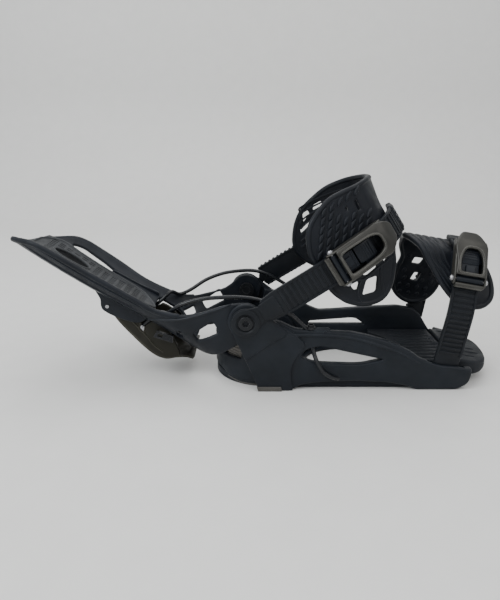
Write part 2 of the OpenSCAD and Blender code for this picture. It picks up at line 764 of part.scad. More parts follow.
module toe_ladder() {
    color(rubber_black) in_toe() difference() {
        union() {
            translate([0, 0, -toe_ladder_w / 2]) linear_extrude(toe_ladder_w)
                ladder(part_of(toe_line, 1, 36), ladder_gap, ladder_t, tooth_pitch, 4);
            slab(-53.6, -50.6) circle(r = 9);
        }
        rod_y(0, 0, toe_bolt_r + play, -80, 0);
        // sides that taper to the root
        at_both_z() slab(-80, -40) polygon([[-10, 8], [4, 8.5], [16, toe_ladder_w / 2 + 0.1],
            [16, 20], [-10, 20]]);
    }
}
module toe_far_strap() {
    color(rubber_black) in_toe() difference() {
        union() {
            translate([0, 0, -10]) linear_extrude(20)
                band(part_of(toe_line, 50, 67), -0.3, -3.5);
            slab(57.75, 61) circle(r = 10);
        }
        rod_y(0, 0, toe_bolt_r + play, 0, 80);
        at_toe_screws(1) translate([0, 0, -4]) cylinder(r = screw_bore_r, h = 12);
    }
}
module toe_buckle_base() { color(nylon) in_toe_buckle() buckle_base(toe_ladder_w, 22, 10); }
module toe_buckle_axle() { color(steel) in_toe_buckle() buckle_axle(toe_ladder_w, 22); }
module toe_pawl_pin() { color(steel) in_toe_buckle() buckle_pawl_pin(toe_ladder_w); }
module toe_buckle_lever() { color(gunmetal) in_toe_buckle() buckle_lever(toe_ladder_w, 22, 28); }
module toe_pawl() { color(nylon) in_toe_buckle() buckle_pawl(toe_ladder_w); }
module toe_pawl_spring() { color(steel) in_toe_buckle() pawl_spring(toe_ladder_w); }

baseplate();
heel_eva_pads();
heel_liner();
heel_footbed();
toe_footbed();
pivot_bolts();
pivot_nuts();
pivot_bushes();
toe_strap_bolts();
toe_strap_nut();
cable_sockets();
front_cable_near();
front_cable_far();
toe_ramp();
toe_ramp_screws();
highback_shell();
highback_pad();
highback_pad_screws();
lever_pin();
rear_cable_near();
rear_cable_far();
lock_lever();
lever_link();
cable_barrels();
ankle_ladder();
ankle_far_strap();
ankle_pad();
ankle_strap_screws();
ankle_buckle_base();
ankle_buckle_axle();
ankle_pawl_pin();
ankle_buckle_lever();
ankle_pawl();
ankle_pawl_spring();
toe_ladder();
toe_far_strap();
toe_cap();
toe_strap_screws();
toe_buckle_base();
toe_buckle_axle();
toe_pawl_pin();
toe_buckle_lever();
toe_pawl();
toe_pawl_spring();
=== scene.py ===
"""Looks of the snowboard binding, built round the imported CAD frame.

Lengths in this script are millimetres and angles degrees; meshes are scaled to metres
when they are made. Flat pieces are cut as plates with round rims, then bent over the
strap lines, the heel hoop or the highback's section.
"""
import bpy
import bmesh
import json
import math
from mathutils import Matrix, Vector


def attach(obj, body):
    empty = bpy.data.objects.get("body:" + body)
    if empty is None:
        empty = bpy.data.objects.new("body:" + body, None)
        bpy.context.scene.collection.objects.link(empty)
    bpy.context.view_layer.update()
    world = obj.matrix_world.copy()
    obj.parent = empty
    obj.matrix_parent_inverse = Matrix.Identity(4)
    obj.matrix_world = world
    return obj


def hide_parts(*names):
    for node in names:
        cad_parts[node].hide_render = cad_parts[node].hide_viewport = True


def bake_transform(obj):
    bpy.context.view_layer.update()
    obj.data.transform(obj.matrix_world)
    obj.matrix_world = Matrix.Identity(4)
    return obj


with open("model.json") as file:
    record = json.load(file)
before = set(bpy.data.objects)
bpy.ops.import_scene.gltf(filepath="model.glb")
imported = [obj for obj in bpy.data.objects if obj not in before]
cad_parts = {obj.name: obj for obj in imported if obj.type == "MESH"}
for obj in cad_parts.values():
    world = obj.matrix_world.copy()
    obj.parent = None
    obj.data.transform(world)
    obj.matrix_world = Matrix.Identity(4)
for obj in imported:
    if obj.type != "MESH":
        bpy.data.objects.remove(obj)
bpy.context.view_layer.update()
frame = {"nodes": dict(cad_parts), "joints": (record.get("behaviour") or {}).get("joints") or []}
MM = 0.001
JOINTS = {j["name"]: j for j in frame["joints"]}


def joint_place(name):
    return Vector(JOINTS[name]["pos_m"]) / MM


# ---- places and frames ------------------------------------------------------------

PIVOT = joint_place("highback_fold")
TOE_PIVOT = joint_place("toe_strap_swing")
RECLINE = 60
ANKLE_ANGLE = 32
TOE_ANGLE = 80
ANKLE_TILT = 16
TOE_TILT = 25
CUSHION = 5
LADDER_GAP = 2.6


def turned_up(origin, degrees):
    """A frame whose x points forward and up by degrees, with z across it."""
    return Matrix.Translation(origin) @ Matrix.Rotation(-math.radians(degrees), 4, "Y")


BASE = Matrix.Identity(4)
HIGHBACK = turned_up(PIVOT, RECLINE)
ANKLE = turned_up(PIVOT, ANKLE_ANGLE)
TOE = turned_up(TOE_PIVOT, TOE_ANGLE)
ANKLE_BUCKLE = ANKLE @ Matrix.Translation((120, -47.84, 0)) @ Matrix.Rotation(
    math.radians(ANKLE_TILT), 4, "Z")
TOE_BUCKLE = TOE @ Matrix.Translation((105.344, -35.492, 0)) @ Matrix.Rotation(
    math.radians(TOE_TILT), 4, "Z")


# ---- curves -----------------------------------------------------------------------

def spline(points, steps=6):
    """A smooth open line through the points."""
    p = [Vector(q) for q in points]
    out = []
    for i in range(len(p) - 1):
        a, b, c, d = p[max(i - 1, 0)], p[i], p[i + 1], p[min(i + 2, len(p) - 1)]
        for k in range(steps):
            t = k / steps
            out.append(0.5 * (2 * b + (c - a) * t + (2 * a - 5 * b + 4 * c - d) * t * t
                              + (3 * b - a - 3 * c + d) * t ** 3))
    out.append(p[-1])
    return out


def rounded(points, radius, steps=5):
    """A closed outline with each corner rounded; a point may carry its own radius."""
    n = len(points)
    out = []
    for i in range(n):
        before, here, after = (Vector(points[(i + k) % n][:2]) for k in (-1, 0, 1))
        r = points[i][2] if len(points[i]) > 2 else radius
        back, on = before - here, after - here
        r_in = min(r, 0.49 * back.length)
        r_out = min(r, 0.49 * on.length)
        if min(r_in, r_out) < 0.05:
            out.append(here)
            continue
        start = here + back.normalized() * r_in
        end = here + on.normalized() * r_out
        for k in range(steps + 1):
            t = k / steps
            out.append(start * (1 - t) ** 2 + here * 2 * t * (1 - t) + end * t * t)
    return out


def smooth_ring(points, steps=4):
    """A closed flat outline through the points."""
    p = [Vector((*q[:2], 0)) for q in points]
    n = len(p)
    out = []
    for i in range(n):
        a, b, c, d = p[i - 1], p[i], p[(i + 1) % n], p[(i + 2) % n]
        for k in range(steps):
            t = k / steps
            out.append(0.5 * (2 * b + (c - a) * t + (2 * a - 5 * b + 4 * c - d) * t * t
                              + (3 * b - a - 3 * c + d) * t ** 3))
    return [(q.x, q.y) for q in out]


def ellipse(x, y, rx, ry, turn=0.0, n=16):
    c, s = math.cos(math.radians(turn)), math.sin(math.radians(turn))
    return [(x + c * rx * math.cos(t) - s * ry * math.sin(t),
             y + s * rx * math.cos(t) + c * ry * math.sin(t))
            for t in (2 * math.pi * k / n for k in range(n))]


def area(ring):
    return 0.5 * sum(a[0] * b[1] - b[0] * a[1] for a, b in zip(ring, ring[1:] + ring[:1]))


class Line:
    """A line in a plane that turns back on itself: arc length to point and outward normal.

    turn is 1 when the line turns back at its greatest x, and -1 at its least.
    """

    def __init__(self, points, steps=8, turn=1):
        self.p = spline([(*q, 0) for q in points], steps)
        self.top = max(range(len(self.p)), key=lambda i: turn * self.p[i].x)
        self.a = [0.0]
        for one, two in zip(self.p, self.p[1:]):
            self.a.append(self.a[-1] + (two - one).length)
        self.length = self.a[-1]
        self.n = []
        for i in range(len(self.p)):
            d = self.p[min(i + 1, len(self.p) - 1)] - self.p[max(i - 1, 0)]
            self.n.append(Vector((d.y, -d.x, 0)).normalized())

    def at(self, a, out=0.0):
        """The point at arc length a, moved outward, as (x, y)."""
        if a <= 0 or a >= self.length:
            i = 0 if a <= 0 else len(self.p) - 2
        else:
            i = next(k for k in range(len(self.a) - 1) if self.a[k + 1] >= a)
        t = (a - self.a[i]) / (self.a[i + 1] - self.a[i])
        p = self.p[i].lerp(self.p[i + 1], t)
        n = self.n[i].lerp(self.n[i + 1], min(max(t, 0), 1)).normalized()
        q = p + n * out
        return q.x, q.y

    def arc(self, x, second=False):
        """The arc length at which the first or the second half passes x."""
        top = self.top
        ids = range(len(self.p) - 2, top - 1, -1) if second else range(0, top)
        for i in ids:
            x0, x1 = self.p[i].x, self.p[i + 1].x
            if min(x0, x1) <= x <= max(x0, x1):
                return self.a[i] + (x - x0) / ((x1 - x0) or 1) * (self.a[i + 1] - self.a[i])
        return self.a[top]


# ---- meshes -----------------------------------------------------------------------

def plate(outline, holes=(), thick=4.0, edge=1.0, steps=3):
    """A flat plate in x and y with holes and round rims, its thickness along z."""
    curve = bpy.data.curves.new("plate", "CURVE")
    curve.dimensions = "2D"
    curve.fill_mode = "BOTH"
    curve.extrude = max(thick / 2 - edge, 0.0005)
    curve.bevel_depth = edge
    curve.bevel_resolution = steps
    curve.offset = -edge
    for number, ring in enumerate((outline, *holes)):
        points = [Vector(q[:2]) for q in ring]
        if (area(points) > 0) == (number > 0):
            points.reverse()
        line = curve.splines.new("POLY")
        line.points.add(len(points) - 1)
        for spot, q in zip(line.points, points):
            spot.co = (q.x, q.y, 0, 1)
        line.use_cyclic_u = True
    holder = bpy.data.objects.new("plate", curve)
    bpy.context.scene.collection.objects.link(holder)
    bpy.context.view_layer.update()
    mesh = bpy.data.meshes.new_from_object(
        holder.evaluated_get(bpy.context.evaluated_depsgraph_get()))
    bm = bmesh.new()
    bm.from_mesh(mesh)
    bpy.data.objects.remove(holder)
    bpy.data.curves.remove(curve)
    bpy.data.meshes.remove(mesh)
    bmesh.ops.remove_doubles(bm, verts=bm.verts, dist=0.01)
    bmesh.ops.dissolve_limit(bm, angle_limit=math.radians(1), verts=bm.verts, edges=bm.edges)
    bmesh.ops.recalc_face_normals(bm, faces=bm.faces)
    return bm


def sliced(bm, axis, step):
    """Cuts the mesh across one axis at every step, so that it can bend."""
    low = min(v.co[axis] for v in bm.verts)
    high = max(v.co[axis] for v in bm.verts)
    normal = Vector([1.0 if k == axis else 0.0 for k in range(3)])
    for i in range(math.floor(low / step) + 1, math.ceil(high / step)):
        bmesh.ops.bisect_plane(bm, geom=bm.verts[:] + bm.edges[:] + bm.faces[:],
                               plane_co=normal * (i * step), plane_no=normal)
    return bm


def bent(bm, rule):
    for v in bm.verts:
        v.co = rule(*v.co)
    return bm


def joined(*meshes):
    """One mesh from several, each left as its own closed shell."""
    out = meshes[0]
    for bm in meshes[1:]:
        data = bpy.data.meshes.new("join")
        bm.to_mesh(data)
        bm.free()
        out.from_mesh(data)
        bpy.data.meshes.remove(data)
    return out


def tube(points, radius, sides=16, caps=True):
    """A round tube along 3-D points; radius may be a list, one for each point."""
    bm = bmesh.new()
    points = [Vector(p) for p in points]
    radii = radius if isinstance(radius, (list, tuple)) else [radius] * len(points)
    direction = (points[1] - points[0]).normalized()
    side = direction.orthogonal().normalized()
    rings = []
    for i, p in enumerate(points):
        d = (points[min(i + 1, len(points) - 1)] - points[max(i - 1, 0)]).normalized()
        side = (side - d * side.dot(d)).normalized()
        up = d.cross(side)
        rings.append([bm.verts.new(p + radii[i] * (side * math.cos(a) + up * math.sin(a)))
                      for a in (2 * math.pi * k / sides for k in range(sides))])
    for one, two in zip(rings, rings[1:]):
        for k in range(sides):
            bm.faces.new((one[k], one[(k + 1) % sides], two[(k + 1) % sides], two[k]))
    if caps:
        bm.faces.new(list(reversed(rings[0])))
        bm.faces.new(rings[-1])
    bmesh.ops.recalc_face_normals(bm, faces=bm.faces)
    return bm


def turned(profile, sides=40):
    """A turned body round z from (radius, z) points; ends at radius 0 close it."""
    bm = bmesh.new()
    rings = []
    for r, z in profile:
        if r <= 0.001:
            rings.append([bm.verts.new((0, 0, z))] * sides)
        else:
            rings.append([bm.verts.new((r * math.cos(a), r * math.sin(a), z))
                          for a in (2 * math.pi * k / sides for k in range(sides))])
    for one, two in zip(rings, rings[1:]):
        for k in range(sides):
            ring = [one[k], one[(k + 1) % sides], two[(k + 1) % sides], two[k]]
            ring = [v for i, v in enumerate(ring) if v not in ring[:i]]
            if len(ring) > 2:
                bm.faces.new(ring)
    bmesh.ops.recalc_face_normals(bm, faces=bm.faces)
    return bm


def block(low, high, bevel=0.5, segments=2):
    """A box with round edges."""
    bm = bmesh.new()
    bmesh.ops.create_cube(bm, size=1)
    low, high = Vector(low), Vector(high)
    for v in bm.verts:
        v.co = Vector([(low[k] + high[k]) / 2 + v.co[k] * (high[k] - low[k])
                       for k in range(3)])
    if bevel:
        bmesh.ops.bevel(bm, geom=bm.edges[:], offset=bevel, segments=segments,
                        affect="EDGES", profile=0.5)
    return bm


def cut(bm, tool):
    """The first mesh with the room of the second taken out of it."""
    objects = []
    for part in (bm, tool):
        bmesh.ops.recalc_face_normals(part, faces=part.faces)
        mesh = bpy.data.meshes.new("cut")
        part.to_mesh(mesh)
        part.free()
        obj = bpy.data.objects.new("cut", mesh)
        bpy.context.scene.collection.objects.link(obj)
        objects.append(obj)
    body, knife = objects
    change = body.modifiers.new("cut", "BOOLEAN")
    change.operation = "DIFFERENCE"
    change.solver = "EXACT"
    change.object = knife
    bpy.context.view_layer.update()
    mesh = bpy.data.meshes.new_from_object(
        body.evaluated_get(bpy.context.evaluated_depsgraph_get()))
    out = bmesh.new()
    out.from_mesh(mesh)
    bpy.data.meshes.remove(mesh)
    for obj in objects:
        data = obj.data
        bpy.data.objects.remove(obj)
        bpy.data.meshes.remove(data)
    return out


def side_plate(outline, y0, y1, holes=(), edge=1.0, steps=3):
    """A plate drawn in x and z that fills the room from y0 to y1."""
    bm = plate(outline, holes, abs(y1 - y0), edge, steps)
    middle = (y0 + y1) / 2
    return bent(bm, lambda x, y, z: Vector((x, middle - z, y)))


def piece(name, bm, material, body, replaces=(), sharp=35, matrix=None):
    """Makes the mesh an object, in metres, that rides on its body."""
    if matrix:
        bm.transform(matrix)
    bm.transform(Matrix.Scale(MM, 4))
    mesh = bpy.data.meshes.new(name)
    bmesh.ops.recalc_face_normals(bm, faces=bm.faces)
    bm.to_mesh(mesh)
    bm.free()
    for face in mesh.polygons:
        face.use_smooth = True
    mesh.set_sharp_from_angle(angle=math.radians(sharp))
    obj = bpy.data.objects.new(name, mesh)
    bpy.context.scene.collection.objects.link(obj)
    mesh.materials.append(material)
    if body:
        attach(obj, body)
    if replaces:
        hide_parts(*replaces)
    return obj


# ---- materials --------------------------------------------------------------------

def moulded(name, color, rough=0.5, grain=1400, bump=0.12, edge_wear_and_highlight=0.35, metal=0.0,
            vary=0.25, spec=0.22, edge_wear_and_highlight_color=None, rough_vary=0.12):
    """A moulded, cast or painted surface: fine grain, uneven tone and paler edges that are partly
    wear and partly a painted edge highlight.
    """
    mat = bpy.data.materials.new(name)
    mat.use_nodes = True
    nodes, links = mat.node_tree.nodes, mat.node_tree.links
    shader = nodes["Principled BSDF"]
    place = nodes.new("ShaderNodeTexCoord")

    def noise(scale, detail):
        n = nodes.new("ShaderNodeTexNoise")
        n.inputs["Scale"].default_value = scale
        n.inputs["Detail"].default_value = detail
        links.new(place.outputs["Object"], n.inputs["Vector"])
        return n.outputs["Fac"]

    def spread(source, low, high):
        n = nodes.new("ShaderNodeMapRange")
        n.inputs["From Min"].default_value = 0.3
        n.inputs["From Max"].default_value = 0.7
        n.inputs["To Min"].default_value = low
        n.inputs["To Max"].default_value = high
        links.new(source, n.inputs["Value"])
        return n.outputs["Result"]

    def mix(fac, one, two):
        n = nodes.new("ShaderNodeMix")
        n.data_type = "RGBA"
        links.new(fac, n.inputs[0])
        for source, slot in ((one, n.inputs[6]), (two, n.inputs[7])):
            if isinstance(source, (list, tuple)):
                slot.default_value = (*source, 1)
            else:
                links.new(source, slot)
        return n.outputs[2]

    dark = [c * (1 - vary) for c in color]
    light = [c * (1 + vary) for c in color]
    tone = mix(spread(noise(35, 4), 0, 1), dark, light)
    # paler edges, partly wear and partly painted highlight: where the rounded normal leaves the
    # true one
    soft = nodes.new("ShaderNodeBevel")
    soft.inputs["Radius"].default_value = 0.0009
    soft.samples = 4
    true = nodes.new("ShaderNodeNewGeometry")
    dot = nodes.new("ShaderNodeVectorMath")
    dot.operation = "DOT_PRODUCT"
    links.new(soft.outputs["Normal"], dot.inputs[0])
    links.new(true.outputs["Normal"], dot.inputs[1])
    edge = nodes.new("ShaderNodeMapRange")
    edge.inputs["From Min"].default_value = 0.995
    edge.inputs["From Max"].default_value = 0.9
    edge.inputs["To Max"].default_value = edge_wear_and_highlight
    links.new(dot.outputs["Value"], edge.inputs["Value"])
    worn_and_lit_edge_color = edge_wear_and_highlight_color or [min(1, c * 2.6 + 0.02) for c in color]
    links.new(mix(edge.outputs["Result"], tone, worn_and_lit_edge_color), shader.inputs["Base Color"])
    links.new(spread(noise(90, 3), rough - rough_vary, rough + rough_vary),
              shader.inputs["Roughness"])
    shader.inputs["Metallic"].default_value = metal
    shader.inputs["Specular IOR Level"].default_value = spec
    lift = nodes.new("ShaderNodeBump")
    lift.inputs["Strength"].default_value = bump
    lift.inputs["Distance"].default_value = 0.0004
    links.new(noise(grain, 5), lift.inputs["Height"])
    links.new(lift.outputs["Normal"], shader.inputs["Normal"])
    return mat


M = {
    "frame": moulded("frame_nylon", (0.0085, 0.0110, 0.0150), 0.50, 1500, 0.16, 0.22),
    "nylon": moulded("dark_nylon", (0.0075, 0.0096, 0.0135), 0.44, 1300, 0.12, 0.25),
    "shadow": moulded("shadow_nylon", (0.0030, 0.0034, 0.0042), 0.70, 1300, 0.12, 0.05,
                      spec=0.1),
    "strap": moulded("strap_rubber", (0.0065, 0.0080, 0.0105), 0.50, 1800, 0.12, 0.20),
    "cushion": moulded("cushion_rubber", (0.0070, 0.0086, 0.0120), 0.46, 1100, 0.18, 0.22),
    "pad": moulded("grey_pad", (0.042, 0.044, 0.047), 0.62, 1700, 0.22, 0.40, spec=0.2,
                   edge_wear_and_highlight_color=(0.11, 0.115, 0.12)),
    "bronze": moulded("bronze_plate", (0.0165, 0.0155, 0.0110), 0.42, 900, 0.10, 0.35, 0.35,
                      spec=0.3, edge_wear_and_highlight_color=(0.12, 0.115, 0.09)),
    "gunmetal": moulded("gunmetal_paint", (0.036, 0.035, 0.031), 0.36, 1000, 0.10, 0.45,
                        0.40, spec=0.4, edge_wear_and_highlight_color=(0.24, 0.235, 0.215)),
    "steel": moulded("zinc_steel", (0.34, 0.34, 0.35), 0.30, 800, 0.06, 0.30, 1.0, spec=0.5),
    "black_steel": moulded("black_oxide", (0.012, 0.013, 0.015), 0.32, 900, 0.08, 0.45,
                           0.5, spec=0.4, edge_wear_and_highlight_color=(0.10, 0.10, 0.105)),
    "sheath": moulded("cable_sheath", (0.007, 0.008, 0.010), 0.30, 700, 0.05, 0.10, spec=0.4),
    # heel liner foam made brighter to stand in for the light that falls on it: painted light
    "foam_painted_light": moulded("heel_foam_painted_light", (0.150, 0.140, 0.128), 0.82, 2200, 0.45, 0.20, 0,
                    edge_wear_and_highlight_color=(0.24, 0.23, 0.21)),
    # the same foam as the liner at half its brightness; the liner copy carries the painted light
    "grip": moulded("heel_pad_foam", (0.075, 0.071, 0.065), 0.82, 2200, 0.45, 0.20, 0,
                    edge_wear_and_highlight_color=(0.14, 0.135, 0.125)),
    "footbed": moulded("footbed_foam", (0.0125, 0.0145, 0.0180), 0.60, 1900, 0.25, 0.25),
}


# ---- the highback's section -------------------------------------------------------

def section(half_width, depth):
    """Far side, round the back, near side, as x toward the leg and y across."""
    far = [(20, 1.0), (-8, 1.0), (-26, 0.985), (-38, 0.93), (-47.5, 0.76), (-53.5, 0.48),
           (-56.3, 0.2)]
    points = [(x * depth / 57 if x < -8 else x, half_width * w) for x, w in far]
    return points + [(-depth, 0)] + [(x, -y) for x, y in reversed(points)]


SHELL_HALF = 53.8
SHELL_DEPTH = 57
SHELL = Line(section(SHELL_HALF, SHELL_DEPTH), 8, turn=-1)
SHELL_MID = SHELL.a[SHELL.top]


def shell_rule(lift=0.0):
    """Bends a plate drawn in arc length and height over the highback's section."""
    def rule(a, h, w):
        # x runs far to near in the drawing, so near is positive there
        f, y = SHELL.at(a + SHELL_MID, w + lift)
        top = max(0.0, (h - 120) / 107)
        low = max(0.0, (70 - h) / 60)
        y *= 1 - 0.10 * top * top
        back = max(0.0, -f / SHELL_DEPTH)
        f += back * (4.0 * top * top - 3.5 * low)
        return Vector((f, y, h))
    return rule


def near(f):
    return SHELL.arc(f, True) - SHELL_MID


def far(f):
    return SHELL.arc(f) - SHELL_MID


EYE = 16.3
NEAR_SIDE = [(10.5, 13.5), (1.3, 24.7), (-14, 39), (-27, 55.5), (-34.5, 76), (-34.5, 96),
             (-34, 122), (-34, 150), (-34.5, 184), (-37, 206)]
FAR_SIDE = [(-39.5, 178), (-40, 160), (-41.5, 135), (-44, 104), (-43, 78), (-40.5, 60),
            (-34.5, 47), (-27, 38), (-10, 21), (8, 14.5)]
ARM_BELOW = [(-38, 2.5), (-45, 8.5)]


def eye_arc(place, a0, a1, n=9):
    """The round end of an arm, from angle a0 to a1 in the side view."""
    return [(place(EYE * math.cos(math.radians(a))), EYE * math.sin(math.radians(a)))
            for a in (a0 + (a1 - a0) * k / n for k in range(n + 1))]


def highback_shell():
    loop_side = near(-50)
    outline = [(p[0], p[1]) for p in spline([(near(f), h, 0) for f, h in NEAR_SIDE], 3)]
    outline += [(p[0], p[1]) for p in spline(
        [(near(-45), 223, 0), (36, 229, 0), (22, 227, 0), (0, 222.5, 0), (-22, 217, 0),
         (-38, 207, 0), (far(-42), 193, 0)], 4)]
    outline += [(p[0], p[1]) for p in spline([(far(f), h, 0) for f, h in FAR_SIDE], 3)]
    outline += eye_arc(far, 40, -125)
    outline += [(far(f), h) for f, h in ARM_BELOW]
    outline += [(-loop_side, 19), (-30, 25), (30, 25), (loop_side, 19)]
    outline += [(near(f), h) for f, h in reversed(ARM_BELOW)]
    outline += eye_arc(near, -125, 40)
    holes = []
    for side in (near, far):
        holes.append(rounded([(side(-36), 36), (side(-16), 25.6), (side(-22), 15),
                              (side(-40), 28)], 2.2))
        if side is near:
            holes.append(rounded([(side(-43), 50), (side(-40), 46), (side(-45.5), 41),
                                  (side(-49.5), 46)], 2.0))
        else:
            holes.append(rounded([(side(-51), 50), (side(-43.5), 42), (side(-47), 36.5),
                                  (side(-54), 44)], 2.0))
        holes.append([(side(0) + 4.1 * math.cos(t), 4.1 * math.sin(t))
                      for t in (2 * math.pi * k / 24 for k in range(24))])
    # opening between the heel loop and the shell
    holes.append(rounded([(-33, 80), (-33, 53), (-27, 44), (27, 44), (33, 53), (33, 80)], 5))
    # slot between the pad and the far rim
    holes.append(rounded([(-32, 184), (-41, 189, 6), (-43.5, 176), (-40, 150), (-34.5, 128),
                          (-31, 134)], 4))
    bm = plate(outline, holes, 4.2, 1.5)
    sliced(sliced(bm, 0, 3.0), 1, 7.0)
    body = bent(bm, shell_rule(0.1))
    # ribs along the near wing and a lip round both rims
    ribs = []
    for f, r in ((-38.2, 1.1), (-44.5, 1.3)):
        line = [shell_rule(2.0)(near(f) + 0.5 * math.sin(h / 30), h, 0)
                for h in range(84, 222, 6)]
        fade = [r * min(1, 0.2 + i / 3, 0.2 + (len(line) - 1 - i) / 3)
                for i in range(len(line))]
        ribs.append(tube(line, fade, 10))
    rim = [shell_rule(0.4)(p[0], p[1], 0) for p in spline(
        [(near(f) - 1.6, h, 0) for f, h in NEAR_SIDE[3:]]
        + [(near(-45) - 1.8, 221, 0), (35, 226.6, 0), (22, 224.8, 0), (0, 220.5, 0),
           (-21, 215, 0), (-37, 205, 0), (far(-42) + 1.8, 192, 0)]
        + [(far(f) + 1.6, h, 0) for f, h in FAR_SIDE[:7]], 5)]
    ribs.append(tube(rim, 2.6, 12))
    # bead on the near arm, from the cable's hook to the pivot
    bead = spline([shell_rule(2.0)(near(f), h, 0) for f, h in (
        (-55, 84), (-49, 79.5), (-42, 71), (-34.5, 60), (-27, 50), (-17, 40), (-3, 27),
        (8, 18.5))], 5)
    size = [1.3 * min(1, 0.2 + i / 6, 0.2 + (len(bead) - 1 - i) / 6)
            for i in range(len(bead))]
    ribs.append(tube(bead, size, 10))
    # lugs that carry the lever's pin, inside and outside its cheeks
    lug = [(-66.5, 122), (-63, 125.5), (-58, 128), (-52, 138), (-48, 138), (-48, 106)]
    inner = rounded(lug + [(-57, 111), (-63, 112.5), (-66.5, 116)], 3)
    outer = rounded(lug + [(-46, 82), (-55, 80, 6), (-62, 86, 6), (-66, 102, 8),
                           (-67, 114)], 3)
    for y in (-22, 12):
        ribs.append(side_plate(inner, y, y + 10, edge=0.8))
    for y in (-34.6, 31.2):
        ribs.append(side_plate(outer, y, y + 3.4, edge=0.8))
    return joined(body, *ribs)


piece("highback_shell_skin", highback_shell(), M["nylon"], "highback",
      ("highback_shell",), matrix=HIGHBACK)


BADGE_X = -1
BADGE_H = 176


def pad_rule(a, h, w):
    """The pad follows the shell and thins out toward its top edge."""
    thin = max(0.0, (h - 196) / 26)
    return shell_rule(-6.6 + 3.6 * thin)(a, h, w * (1 - 0.45 * thin))


def highback_pad_shade_sheet():
    """A near-black sheet under the pad: painted shade that shows through its slits."""
    ring = [(19, 212), (19.5, 182), (20, 149), (19.5, 116), (15, 92), (6, 82), (-7, 89),
            (-16, 104), (-18.5, 139), (-23, 176), (-26.5, 204), (-13, 214), (4, 216)]
    bm = plate(smooth_ring(ring, 3), (), 3.0, 1.0)
    sliced(sliced(bm, 0, 3.0), 1, 8.0)
    # blank badge, a little below the surface of the pad; its near-black colour is partly painted
    # shade
    badge = plate(ellipse(BADGE_X, BADGE_H, 9.8, 18.4, 0, 36), (), 2.4, 0.6)
    sliced(sliced(badge, 0, 3.0), 1, 8.0)
    return joined(bent(bm, lambda a, h, w: pad_rule(a, h, w + 2.4)),
                  bent(badge, lambda a, h, w: pad_rule(a, h, w + 0.7)))


def highback_pad():
    near_edge = [(21.5, 216), (21.5, 198), (21.5, 182), (22.5, 149), (22, 116), (18.5, 93),
                 (13, 82)]
    far_edge = [(8, 78), (0, 80), (-10, 88), (-18, 103), (-21, 139), (-25.5, 176),
                (-29, 203)]
    outline = [(p[0], p[1]) for p in spline([(*q, 0) for q in near_edge + far_edge], 4)]
    outline += [(-28, 212), (-14, 216.5), (6, 220.5), (17, 222.5)]
    badge = (BADGE_X, BADGE_H)
    holes = [ellipse(*badge, 10.4, 19, 0, 40)]
    row = 0
    for h in range(94, 208, 9):
        shift = 1.9 if row % 2 else 0
        for k in range(-8, 7):
            a = k * 3.8 + shift
            near_in = 17 if h > 100 else 12.5
            far_in = -16.5 - max(0, (h - 139) * 0.12) if h > 100 else -9
            on_badge = math.hypot((a - badge[0]) / 14.2, (h - badge[1]) / 25) < 1
            if far_in < a < near_in and not on_badge:
                holes.append(rounded([(a - 0.8, h - 3.2), (a + 0.8, h - 3.2),
                                      (a + 0.8, h + 3.2), (a - 0.8, h + 3.2)], 0.7, 3))
        row += 1
    top = plate(outline, holes, 2.4, 0.5, 2)
    sliced(sliced(top, 0, 3.0), 1, 8.0)
    parts = [bent(top, pad_rule)]
    border = spline([(x * 0.965, 150 + (h - 150) * 0.98, 0)
                     for x, h in outline[::3] + outline[:1]], 3)
    parts.append(tube([pad_rule(p.x, p.y, -1.1) for p in border], 1.3, 8))
    ring = [pad_rule(a, h, -1.1) for a, h in ellipse(*badge, 11.4, 20.2, 0, 40)]
    parts.append(tube(ring + ring[:1], 1.3, 8))
    return joined(*parts)


piece("highback_pad_skin", highback_pad(), M["pad"], "highback",
      ("highback_pad", "highback_pad_screws"), matrix=HIGHBACK)
# near-black sheet behind the pad: painted shade in the slits and the badge recess
piece("highback_pad_painted_shade", highback_pad_shade_sheet(), M["shadow"], "highback", (),
      matrix=HIGHBACK)


# ---- straps and cushions ----------------------------------------------------------

ANKLE_LINE = Line([(0, -59), (22, -59), (44, -59), (66, -58.6), (88, -57), (110, -50.7),
                   (132, -44.4), (152, -38.6), (163, -22), (167, 0), (163, 22), (150, 40),
                   (122, 51), (92, 56), (62, 59.4), (34, 61.1), (17, 61.2), (0, 61.2)], 6)
TOE_LINE = Line([(0, -48), (20, -48.6), (42, -50), (62, -50.8), (78, -48.2), (90.5, -42.4),
                 (103, -36.6), (115, -31), (119.5, -16), (121, 0), (117, 18), (105, 34),
                 (85, 44), (65, 51), (47, 57), (30, 57.7), (14, 57.7), (0, 57.7)], 6)


def strap_rule(line, lift, flare=None):
    """Bends a plate drawn in arc length and width over a strap line, lifted outward."""
    def rule(a, n, w):
        s, y = line.at(a, w + lift)
        return Vector((s + (flare(a, n) if flare else 0), y, n))
    return rule


def rule_ring(rule, ring, out=0.0, turns=2):
    """A closed smooth 3-D line over the bent surface through a flat ring."""
    points = [Vector((*q[:2], 0)) for q in ring]
    points = spline(points + [points[0]], turns)
    return [rule(p.x, p.y, out) for p in points]


